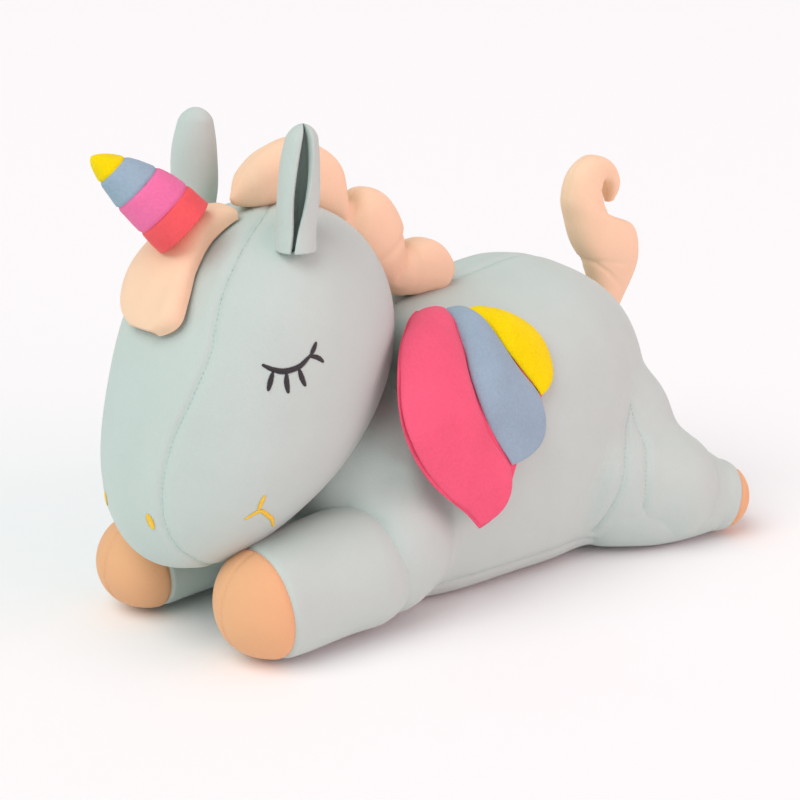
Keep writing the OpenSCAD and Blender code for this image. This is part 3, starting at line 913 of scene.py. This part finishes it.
class PLUSH_OT_horn(bpy.types.Operator):
    """Horn: four sewn bands of a soft cone with a drooping tip"""

    bl_idname = "plush.horn"
    bl_label = "Horn"

    def execute(self, context):
        s = plush()
        for tint, node, low, high, slot in HORN_BANDS:
            start = low - (0.1 if low == 0 else 0)
            u = mix(start, high - (0.002 if high == 1 else 0), np.linspace(0, 1, 46))
            from_seam = np.minimum(u - low if low else 1, high - u if high < 1 else 1)
            seam = np.exp(-((np.maximum(from_seam, 0) * s.trim.horn_long / (1.2 * MM)) ** 2))
            rings = horn_rings(u, 96, -0.9 * MM * seam)
            rings = lumpy(rings, scale=0.006, depth=0.35 * MM, seed=3)
            cloth = brushed(f"{tint} velour", getattr(s.colours, tint))
            band = ring_skin(f"horn_{node}_skin", rings, cloth)
            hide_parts(f"horn_{node}", *(["horn_filling"] if low == 0 else []))
            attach(band, "head")
        return {"FINISHED"}


# ---------------------------------------------------------------- mane, ears and tail

# Lower and upper line of the mane in its middle plane, [y, z] in mm
MANE_LOW = [[-144, 274], [-130, 271], [-116, 270], [-100, 268], [-86, 263], [-72, 255],
            [-62, 243], [-54, 231], [-46, 221], [-36, 211], [-22, 202], [-6, 197],
            [10, 196], [24, 195], [31, 195]]
MANE_HIGH = [[-147, 279], [-138, 294], [-122, 307], [-102, 312], [-80, 307], [-66, 294],
             [-58, 271], [-44, 275], [-24, 268], [-12, 250], [-10, 236], [8, 235],
             [27, 228], [36, 213], [36, 199]]
# Where the valleys between the humps are, and the place and lean of each crease, along the mane
MANE_VALLEYS = (0.43, 0.7)
MANE_CREASES = ((0.42, 0.03), (0.7, 0.02), (0.755, -0.03), (0.62, 0.05))


def band_rings(low, high, thick, rows, cols, power=0.85):
    """Rings round a flat padded band in the middle plane, between two lines of [y, z]."""
    u = np.linspace(0, 1, rows)
    a, b = spline(low, u) * MM, spline(high, u) * MM
    v = full_turn(cols)
    go, aside = signed_pow(np.sin(v), power), signed_pow(np.cos(v), power)
    mid, half = (a + b) / 2, (b - a) / 2
    flat = mid[:, None] + half[:, None] * go[None, :, None]
    x = thick(u, np.linalg.norm(half, axis=1))[:, None] * aside[None]
    return np.concatenate([x[..., None], flat], 2)


class PLUSH_OT_mane(bpy.types.Operator):
    """Mane: a padded crest of three humps, from the crown down to the back"""

    bl_idname = "plush.mane"
    bl_label = "Mane"

    def execute(self, context):
        s = plush()

        def thick(u, half):
            humps = 1 - 0.3 * sum(np.exp(-(((u - at) / 0.05) ** 2)) for at in MANE_VALLEYS)
            ends = np.sin(math.pi * mix(0.03, 0.97, u)) ** 0.4
            return s.trim.mane_half * ends * humps * np.minimum(1, half / (12 * MM))

        rings = band_rings(MANE_LOW, MANE_HIGH, thick, rows=56, cols=36)
        rings = finer(stuffed_rings(rings, give=3.5 * MM, pressure=3), rows=220, cols=144)
        n = ring_normals(rings)
        u = np.linspace(0, 1, len(rings))[:, None]
        turn = full_turn(rings.shape[1])
        up = np.sin(turn)[None]
        crease = 0
        for at, lean in MANE_CREASES:
            off = (u - at - lean * up) / 0.013
            crease = crease + np.exp(-off * off) * (0.35 + 0.65 * np.clip(up + 0.6, 0, 1))
        seam = np.exp(-((np.abs(np.cos(turn))[None] / 0.055) ** 2)) * (up > 0)
        rings = rings - n * (1.6 * MM * crease + 0.7 * MM * seam)[..., None]
        rings = lumpy(rings, scale=0.012, depth=0.9 * MM, seed=21, out=n)
        mane = ring_skin("mane_pad", rings, peach())
        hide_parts("mane_left", "mane_right", "mane_filling")
        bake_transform(mane)
        return {"FINISHED"}


# Rear and front line of the tail in its middle plane, [y, z], and its half thickness, in mm
TAIL_REAR = [[208, 144], [223, 170], [230, 194], [224, 217], [197, 229], [188, 244],
             [189, 254], [194, 253], [198, 247], [199, 238]]
TAIL_FRONT = [[196, 150], [180, 188], [165, 210], [157, 228], [153, 245], [159, 265],
              [176, 275], [195, 271], [207, 256], [206, 240]]
TAIL_THICK = [8, 13, 17, 17, 14, 12, 11, 10, 9, 6]
# Place and lean of each crease along the tail, and whether it is on the front (1) or the rear (-1)
TAIL_CREASES = ((0.1, 0.04, 1), (0.17, -0.03, 1), (0.47, 0.03, -1), (0.55, -0.02, -1))


class PLUSH_OT_tail(bpy.types.Operator):
    """Tail: a flat padded hook that curls forwards over the rump"""

    bl_idname = "plush.tail"
    bl_label = "Tail"

    def execute(self, context):
        s = plush()

        def thick(u, half):
            grow = s.trim.tail_half / (max(TAIL_THICK) * MM)
            return spline(TAIL_THICK, u) * MM * grow * np.minimum(1, half / (5 * MM))

        rings = band_rings(TAIL_REAR, TAIL_FRONT, thick, rows=56, cols=32)
        rings = finer(stuffed_rings(rings, give=2.2 * MM, pressure=2.5), rows=200, cols=120)
        n = ring_normals(rings)
        turn = full_turn(rings.shape[1])
        up = np.sin(turn)[None]
        u = np.linspace(0, 1, len(rings))[:, None]
        crease = 0
        for at, lean, front in TAIL_CREASES:
            off = (u - at - lean * up) / 0.012
            crease = crease + np.exp(-off * off) * np.clip(0.4 + 0.6 * front * up, 0, 1)
        seam = np.exp(-((np.abs(np.cos(turn))[None] / 0.06) ** 2))
        rings = rings - n * (1.1 * MM * crease + 0.6 * MM * seam)[..., None]
        rings = lumpy(rings, scale=0.012, depth=0.6 * MM, seed=31, out=n)
        tail = ring_skin("tail_pad", rings, peach())
        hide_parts("tail_left", "tail_right", "tail_filling")
        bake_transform(tail)
        return {"FINISHED"}


# Foot of the left ear and the radius of its leaf from there to the tip, in mm; how far the leaf
# wraps round to either side of its back, and how much it twists from foot to tip, in degrees
EAR_ROOT = [55, -137, 267]
EAR_R = [13, 13.8, 14, 13.6, 12.6, 10.8, 8.6]
EAR_WRAP = [174, 171, 165, 160, 157, 157, 162]
EAR_TWIST = (12, -16)
# Where an ear's leaf starts, as a share of its height: below its foot, inside the head
EAR_SUNK = -0.21


class PLUSH_OT_ears(bpy.types.Operator):
    """Ears: two lined leaves, folded lengthwise and sewn in at their pinched base"""

    bl_idname = "plush.ears"
    bl_label = "Ears"

    def execute(self, context):
        s = plush()
        u = mix(EAR_SUNK, 1.0, np.sin(np.linspace(0, 0.97, 34) * math.pi / 2))
        tip = np.clip((u - 0.86) / 0.14, 0, 1)
        foot = np.where(u < 0, 1 - 0.2 * u, 1)
        r = spline(EAR_R, np.maximum(u, 0)) * MM * foot * np.sqrt(1 - tip * tip)
        wrap = np.radians(spline(EAR_WRAP, (u - EAR_SUNK) / (1 - EAR_SUNK)))
        v = np.linspace(-1, 1, 22)
        thick = 5 * MM
        for name, side in SIDES:
            opens = np.array([side * math.sin(s.trim.ear_turn), -math.cos(s.trim.ear_turn), 0])
            aside = np.array([math.cos(s.trim.ear_turn), side * math.sin(s.trim.ear_turn), 0])
            root = np.array([side * EAR_ROOT[0], EAR_ROOT[1], EAR_ROOT[2]]) * MM
            axis = root + np.outer(u, np.array([side * 1 * MM, 5 * MM, s.trim.ear_high]))
            turn = v[None] * wrap[:, None] + side * np.radians(mix(*EAR_TWIST, u))[:, None]
            way = 0.93 * np.sin(turn)[..., None] * aside - 1.12 * np.cos(turn)[..., None] * opens
            outer = axis[:, None] + r[:, None, None] * way
            wall = np.minimum(thick, 0.6 * r)[:, None, None]
            inner = axis[:, None] + (r[:, None, None] - wall) * way
            rings = np.concatenate([outer, inner[:, ::-1]], 1)
            rings = finer(rings, rows=90, cols=160)
            rings = lumpy(rings, scale=0.012, depth=0.5 * MM, seed=41)
            ear = ring_skin(f"ear_{name}_leaf", rings, mint())
            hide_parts(f"ear_{name}_back", f"ear_{name}_lining")
            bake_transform(ear)
        return {"FINISHED"}


# ---------------------------------------------------------------- the trunk and legs

# Trunk half-width and height in mm, at even steps of y from behind the forelegs to the hips
TRUNK_KEYS = [[80, 178], [94, 189], [102, 196], [103, 202], [97, 210], [86, 208]]
TRUNK_SPAN = (-70, 150)
# Where the trunk's front edge lies, from its lowest to its highest point, and where the rump begins
TRUNK_EDGE = [-74, -71, -70, -46, -26]
RUMP_FROM = 95


def trunk_point(u, v):
    """Point on the loaf of the trunk, u from its front edge to the rump, v round it in degrees."""
    b = plush().body
    v = np.radians(v)
    edge = spline(TRUNK_EDGE, (np.arcsin(np.sin(v)) / math.pi + 0.5))
    y = mix(edge, b.rump_y / MM, np.sin(u * math.pi / 2))
    girth = spline(TRUNK_KEYS, (y - TRUNK_SPAN[0]) / (TRUNK_SPAN[1] - TRUNK_SPAN[0]))
    back = np.clip((y - RUMP_FROM) / (b.rump_y / MM - RUMP_FROM), 0, 1)
    k = np.maximum(0, 1 - back * back) ** 0.55
    half = (girth[..., 1] + b.press / MM) / 2
    power = np.where(np.sin(v) < 0, 0.56, 0.83)
    z = girth[..., 1] - half + half * signed_pow(np.sin(v), power)
    x = girth[..., 0] * k * signed_pow(np.cos(v), power)
    z = mix(b.rump_z / MM, z, k)
    return np.stack([x, y + 0 * x, z], -1) * MM


# Share of a limb's length at which its first and its last ring lie
LEG_SPAN = (0.005, 0.995)


def leg_rings(root, end, root_r, end_r, rows, cols, belly=0.0):
    """Rings round a limb: a ball at the root, a taper and a round end."""
    root, end = np.array(root) * MM, np.array(end) * MM
    long = np.linalg.norm(end - root)
    axis = unit(end - root)
    side = unit([-axis[1], axis[0], 0])
    up = np.cross(side, axis)
    u = np.linspace(*LEG_SPAN, rows)
    a = np.radians(300 * u)
    b = np.radians(300 * (u - 0.7))
    k = (u - 0.3) / 0.4
    parts = [u < 0.3, u < 0.7]
    along = np.select(parts, [-root_r * np.cos(a), long * k], long + end_r * np.sin(b))
    taper = mix(root_r, end_r, k) + belly * np.sin(math.pi * k)
    r = np.select(parts, [root_r * np.sin(a), taper], end_r * np.cos(b))
    v = full_turn(cols)
    way = np.outer(np.cos(v), side) + np.outer(np.sin(v), up)
    return root + along[:, None, None] * axis + r[:, None, None] * way[None]


def ellipsoid(centre, radii, side=1):
    """Points and faces of an ellipsoid given in mm on the left, or its mirror on the right."""
    directions, faces = ball_faces(14)
    centre = np.array([side, 1, 1]) * centre
    return centre * MM + directions * np.array(radii) * MM, faces


# Root centre and far end of each leg in mm, the hoof seam as a share of its length, and how much
# slimmer its hoof is in mm; the right foreleg lies further in
LEGS = {
    "foreleg_left": ([63, -106, 42], [61, -166, 37.5], 0.745, 0),
    "foreleg_right": ([-60, -112, 42], [-54, -187, 32.5], 0.725, 5),
    "hindleg_left": ([70, 130, 46], [109, 206, 27.5], 0.79, 0),
    "hindleg_right": ([-70, 130, 46], [-109, 206, 27.5], 0.79, 0),
}


# The two seams of a thigh, from where they meet down to the leg, and the fold over a
# foreleg's root, [x, y, z] in mm on the left
THIGH_SEAMS = (
    [[94, 124, 112], [107, 125, 87], [117, 118, 69], [121, 116, 46], [116, 118, 27]],
    [[94, 124, 112], [104, 109, 86], [112, 99, 62], [108, 91, 39], [99, 88, 23]],
)
ARM_FOLD = [[68, -124, 88], [88, -112, 88], [96, -107, 75], [99, -103, 61], [100, -99, 47]]


# Centre and half sizes in mm of what fills the trunk beside its loaf, on the left
NECK = ([0, -72, 84], [86, 56, 74])
SHOULDER = ([66, -78, 52], [40, 43, 52])
HAUNCH = ([56, 146, 80], [47, 60, 56])
# Root, end, root radius and end radius of the left thigh in mm
THIGH = ([68, 120, 50], [92, 166, 42], 52, 46)


def thigh(side):
    mirror = np.array([side, 1, 1])
    root, end, root_r, end_r = THIGH
    return ring_mesh(leg_rings(mirror * root, mirror * end, root_r * MM, end_r * MM, 26, 32))


class PLUSH_OT_trunk(bpy.types.Operator):
    """Trunk: two sides and a belly, stuffed as one skin that fills the neck, shoulders and thighs"""

    bl_idname = "plush.trunk"
    bl_label = "Trunk"

    def execute(self, context):
        s = plush()
        u = np.linspace(0, 0.995, 44)[:, None]
        v = (np.arange(64) / 64 * 360)[None]
        loaf = trunk_point(u + 0 * v, v + 0 * u)
        front, rump = [0, -0.045, 0.092], loaf[-1].mean(0)
        shell = np.vstack([loaf.reshape(-1, 3), [front, rump]])
        shapes = [(shell, ring_faces(*loaf.shape[:2])), ellipsoid(*NECK)]
        for _, side in SIDES:
            shapes += [ellipsoid(*SHOULDER, side), thigh(side), ellipsoid(*HAUNCH, side)]
        trunk = one_skin("trunk_skin", shapes, voxel=6 * MM, rounds=14)
        stuff(trunk, give=4 * MM)
        subdivided(trunk, 2)
        points, out = places(trunk), outward(trunk)
        points = points + out * uneven(points, 0.035, 1.1 * MM, s.stuffing.seed + 1)[:, None]
        move_to(trunk, floored(points))
        trunk.data.materials.clear()
        trunk.data.materials.append(mint())
        skin = Surface(trunk)
        w = np.linspace(0, 0.97, 260)
        seams = [skin.lay(trunk_point(w, 90 + 0 * w))[0]]
        for at in (-33, 213):
            seams.append(skin.lay(trunk_point(w, at + 0 * w))[0])
        w = np.linspace(0, 1, 90)
        folds = []
        for _, side in SIDES:
            mirror = np.array([side, 1, 1]) * MM
            seams += [skin.lay(spline(line, w) * mirror)[0] for line in THIGH_SEAMS]
            folds.append(skin.lay(spline(ARM_FOLD, w) * mirror)[0])
        press_seams(trunk, folds, depth=2.2 * MM, width=4.5 * MM)
        press_seams(trunk, seams, s.sewing.groove, width=2.2 * MM)
        sewn_in = seam_stitches("trunk_stitches", trunk, seams)
        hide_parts("side_left", "side_right", "belly", "trunk_filling")
        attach(trunk, "trunk")
        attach(sewn_in, "trunk")
        return {"FINISHED"}


class PLUSH_OT_legs(bpy.types.Operator):
    """Legs: four round sleeves, each with a two-piece hoof cap"""

    bl_idname = "plush.legs"
    bl_label = "Legs"

    def execute(self, context):
        s = plush()
        hoof_cloth = velour("hoof velour", s.colours.hoof)
        for body, (root, end, seam_at, smaller) in LEGS.items():
            fore = body.startswith("fore")
            root_r = s.body.fore_root if fore else s.body.hind_root
            end_r = (s.body.fore_hoof if fore else s.body.hind_hoof) - smaller * MM
            rings = leg_rings(root, end, root_r, end_r, 52, 44, 0 if fore else 5 * MM)
            rows, cols = 240, 192
            rings = finer(floored(stuffed_rings(rings, give=2.5 * MM)), rows, cols)
            rings = lumpy(rings, scale=0.02, depth=0.8 * MM, seed=51)
            u = np.linspace(*LEG_SPAN, rows)[:, None]
            step = np.linalg.norm(np.diff(rings.mean(1), axis=0), axis=1)
            far = np.r_[0, np.cumsum(step)]
            row = int(round((seam_at - LEG_SPAN[0]) / (LEG_SPAN[1] - LEG_SPAN[0]) * (rows - 1)))
            from_seam = np.abs(far - far[row])[:, None]
            groove = np.exp(-((from_seam / (1.7 * MM)) ** 2))
            v = full_turn(cols)
            r = np.linalg.norm(rings - rings.mean(1, keepdims=True), axis=2)
            middle = np.exp(-((np.cos(v)[None] * r / (1.6 * MM)) ** 2)) * (u > seam_at)
            depth = s.sewing.groove * np.maximum(groove, 0.75 * middle)
            rings = rings - ring_normals(rings) * depth[..., None]
            rings[..., 2] = np.maximum(rings[..., 2], 0.0002)
            sleeve = ring_skin(f"{body}_sleeve_skin", rings[: row + 1], mint())
            hoof = ring_skin(f"{body}_hoof_skin", rings[row:], hoof_cloth)
            seam = np.vstack([rings[row], rings[row][:1]])
            half = [rings[row + 1 :, cols // 4], rings[row + 1 :, 3 * cols // 4]]
            thread = thread_finish("hoof thread", s.colours.hoof)
            sewn_in = stitches(f"{body}_stitches", [seam, *half], thread, s.sewing)
            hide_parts(f"{body}_sleeve", f"{body}_filling")
            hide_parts(f"{body}_hoof_outer", f"{body}_hoof_inner")
            for part in (sleeve, hoof, sewn_in):
                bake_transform(part)
        return {"FINISHED"}


# ---------------------------------------------------------------- the wings

# The curve a wing hangs in, [x, z], and the lines between feathers, [y, distance down], in mm
WING_HANG = [[44, 196], [68, 190], [89, 171], [103, 145], [110, 115], [115, 85], [119, 55]]
WING_DROP = 174
WING_LINES = [
    [[-33, 2], [-76, 42], [-93, 84], [-79, 122], [-43, 157]],
    [[-12, 8], [-23, 40], [-31, 72], [-27, 100], [-11, 127]],
    [[2, 14], [5, 36], [9, 62], [24, 90]],
    [[18, 18], [33, 35], [41, 53], [42, 71]],
]
WING_TIPS = [9, 13, 3]
# Node, cloth, slot and share of the padding of each feather
FEATHERS = (
    ("pink", "wing_pink", "wing_pink_velour", 1.0),
    ("blue", "blue", "blue_velour", 0.85),
    ("yellow", "yellow", "yellow_velour", 0.7),
)


def wing_point(q, r, lift, side):
    """Point on the hanging wing: q feathers across, r of the way down, lifted off its sheet."""
    lines = np.array([spline(line, r) for line in WING_LINES])
    i = np.clip(np.floor(q).astype(int), 0, 2)
    w = q - i
    grid = np.indices(r.shape)
    a, b = lines[(i, *grid)], lines[(i + 1, *grid)]
    ends = np.array([line[-1] for line in WING_LINES], float)
    chord = unit(ends[1:] - ends[:-1])
    out = np.stack([-chord[:, 1], chord[:, 0]], 1)[i]
    tips = np.array(WING_TIPS, float)[i]
    bulge = tips * np.sin(math.pi * np.clip(w, 0, 1)) * r**3
    p = a + (b - a) * w[..., None] + out * bulge[..., None]
    t = p[..., 1] / WING_DROP
    at = spline(WING_HANG, t)
    run = spline(WING_HANG, t + 0.01) - spline(WING_HANG, t - 0.01)
    n = unit(np.stack([-run[..., 1], run[..., 0]], -1))
    x = at[..., 0] + n[..., 0] * lift / MM
    z = at[..., 1] + n[..., 1] * lift / MM
    return np.stack([side * x, p[..., 0], z], -1) * MM


def wing_grid(rows, half, power):
    """Shares down a panel and across its front and its back, and how far it swells there."""
    r = np.linspace(0, 1, rows)[:, None]
    w = (1 - np.cos(np.linspace(0, math.pi, half)))[None] / 2
    swell = np.sin(math.pi * w) ** power * np.sin(math.pi * mix(0.02, 0.985, r)) ** 0.4
    return r, w, w[:, 1:-1][:, ::-1], swell


def feather_rings(k, side, puff, rows=40, half=16):
    """A padded feather: its bowed front, and its flat back on the wing's middle sheet."""
    r, w, inner, swell = wing_grid(rows, half, 0.55)
    front = wing_point(k + w * 0.9999 + 0 * r, r + 0 * w, 0.4 * MM + puff * swell, side)
    back = wing_point(k + inner + 0 * r, r + 0 * inner, -0.2 * MM, side)
    return np.concatenate([front, back], 1)


def back_rings(side, puff):
    """The back panel, a little larger along its front edge than the feathers in front of it."""
    r, w, inner, swell = wing_grid(40, 34, 0.5)
    over = wing_point(3 * w * 0.9999 + 0 * r, r + 0 * w, -0.3 * MM, side)
    deep = -1.4 * MM - 0.45 * puff * swell[:, 1:-1][:, ::-1]
    under = wing_point(3 * inner + 0 * r, r + 0 * inner, deep, side)
    rings = np.concatenate([over, under], 1)
    flat = rings - rings.mean((0, 1))
    far = np.linalg.norm(flat, axis=2, keepdims=True)
    across = np.concatenate([w, inner], 1)[..., None]
    rim = np.maximum(np.abs(2 * across - 1) ** 6, r[..., None] ** 12)
    rim = rim * np.clip((0.42 - across) / 0.1, 0.1, 1)
    return rings + flat / np.maximum(far, 1e-6) * 1.6 * MM * rim


class PLUSH_OT_wings(bpy.types.Operator):
    """Wings: three padded feathers in front of one back panel, sewn to the back at the top"""

    bl_idname = "plush.wings"
    bl_label = "Wings"

    def execute(self, context):
        s = plush()
        puff = s.trim.wing_puff
        for name, side in SIDES:
            for k, (feather, tint, slot, part) in enumerate(FEATHERS):
                rings = feather_rings(k, side, puff * part * 0.72)
                rings = finer(stuffed_rings(rings, give=1.6 * MM, pressure=2), rows=150, cols=150)
                rings = lumpy(rings, scale=0.01, depth=0.45 * MM, seed=61 + k)
                cloth = brushed(f"{tint} velour", getattr(s.colours, tint))
                pad = ring_skin(f"wing_{name}_{feather}_feather", rings, cloth)
                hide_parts(f"wing_{name}_{feather}")
                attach(pad, f"wing_{name}")
            back = stuffed_rings(back_rings(side, puff), give=1.5 * MM, pressure=2)
            back = finer(back, rows=150, cols=220)
            back = lumpy(back, scale=0.012, depth=0.4 * MM, seed=71)
            cloth = brushed("wing back velour", s.colours.wing_back)
            panel = ring_skin(f"wing_{name}_back", back, cloth)
            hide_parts(f"wing_{name}_underside", f"wing_{name}_padding")
            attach(panel, f"wing_{name}")
        return {"FINISHED"}


# ---------------------------------------------------------------- the stage


# What the camera looks at, the shift of its frame, and half the width and the depth of the floor
AIM = Vector((0, 0, 0.123))
SHIFT = (-0.0125, -0.00625)
FLOOR_HALF = 30.0
FLOOR_Z = -0.5 * MM
# Name, azimuth, height and spread in degrees, and tint of each light
LIGHTS = (("key", 5, 52, 50, (1, 1, 1)), ("fill", 112, 10, 60, (1, 0.46, 0.54)))


def sun_way(azimuth, elevation):
    """Direction towards something seen from the middle, azimuth from straight ahead."""
    level = math.cos(elevation)
    return Vector((math.sin(azimuth) * level, -math.cos(azimuth) * level, math.sin(elevation)))


def aimed(name, data, way, distance):
    """An object in the scene that looks at the aim from this way and distance."""
    obj = bpy.data.objects.new(name, data)
    bpy.context.scene.collection.objects.link(obj)
    obj.location = AIM + way * distance
    obj.rotation_mode = "QUATERNION"
    obj.rotation_quaternion = (-way).to_track_quat("-Z", "Y")
    return obj


class PLUSH_OT_stage(bpy.types.Operator):
    """Stage: pale floor, soft studio light and the camera"""

    bl_idname = "plush.stage"
    bl_label = "Stage"

    def execute(self, context):
        s = plush().studio
        scene = context.scene
        pale = shader("pale floor", Base_Color=(0.95, 0.98, 0.98, 1), Roughness=0.9)[0]
        corners = ((-1, -1), (1, -1), (1, 1), (-1, 1))
        points = [(x * FLOOR_HALF, y * FLOOR_HALF, FLOOR_Z) for x, y in corners]
        piece("floor", points, [(0, 1, 2, 3)], pale)
        world = bpy.data.worlds.new("studio")
        world.use_nodes = True
        sky = world.node_tree.nodes["Background"]
        sky.inputs["Color"].default_value = (1, 1, 1, 1)
        sky.inputs["Strength"].default_value = s.sky
        scene.world = world
        way = sun_way(s.azimuth, s.elevation)
        camera = aimed("camera", bpy.data.cameras.new("camera"), way, s.distance)
        camera.data.lens = s.lens
        camera.data.sensor_width = 36
        camera.data.shift_x, camera.data.shift_y = SHIFT
        camera.data.clip_end = 100
        scene.camera = camera
        scene.view_settings.view_transform = "Standard"
        for name, azimuth, elevation, spread, tint in LIGHTS:
            lamp = bpy.data.lights.new(name, "SUN")
            lamp.angle, lamp.energy, lamp.color = math.radians(spread), getattr(s, name), tint
            aimed(name, lamp, sun_way(math.radians(azimuth), math.radians(elevation)), 2)
        return {"FINISHED"}


OPERATORS = (
    PLUSH_OT_head,
    PLUSH_OT_face,
    PLUSH_OT_forelock,
    PLUSH_OT_horn,
    PLUSH_OT_mane,
    PLUSH_OT_ears,
    PLUSH_OT_trunk,
    PLUSH_OT_legs,
    PLUSH_OT_wings,
    PLUSH_OT_tail,
    PLUSH_OT_stage,
)


class PLUSH_PT_pieces(bpy.types.Panel):
    """Lists the pieces in the order in which they are made"""

    bl_idname = "PLUSH_PT_pieces"
    bl_label = "Plush Unicorn"
    bl_space_type = "VIEW_3D"
    bl_region_type = "UI"
    bl_category = "Plush"

    def draw(self, context):
        for operator in OPERATORS:
            self.layout.operator(operator.bl_idname)


CLASSES = (
    HeadSizes, TrimSizes, BodySizes, Sewing, Stuffing, Colours, Studio, Plush,
    *OPERATORS, PLUSH_PT_pieces,
)


def register():
    for c in CLASSES:
        bpy.utils.register_class(c)
    bpy.types.Scene.plush = PointerProperty(type=Plush)


def unregister():
    del bpy.types.Scene.plush
    for c in reversed(CLASSES):
        bpy.utils.unregister_class(c)


def main():
    register()
    for operator in OPERATORS:
        group, name = operator.bl_idname.split(".")
        getattr(getattr(bpy.ops, group), name)()


if __name__ == "__main__":
    main()
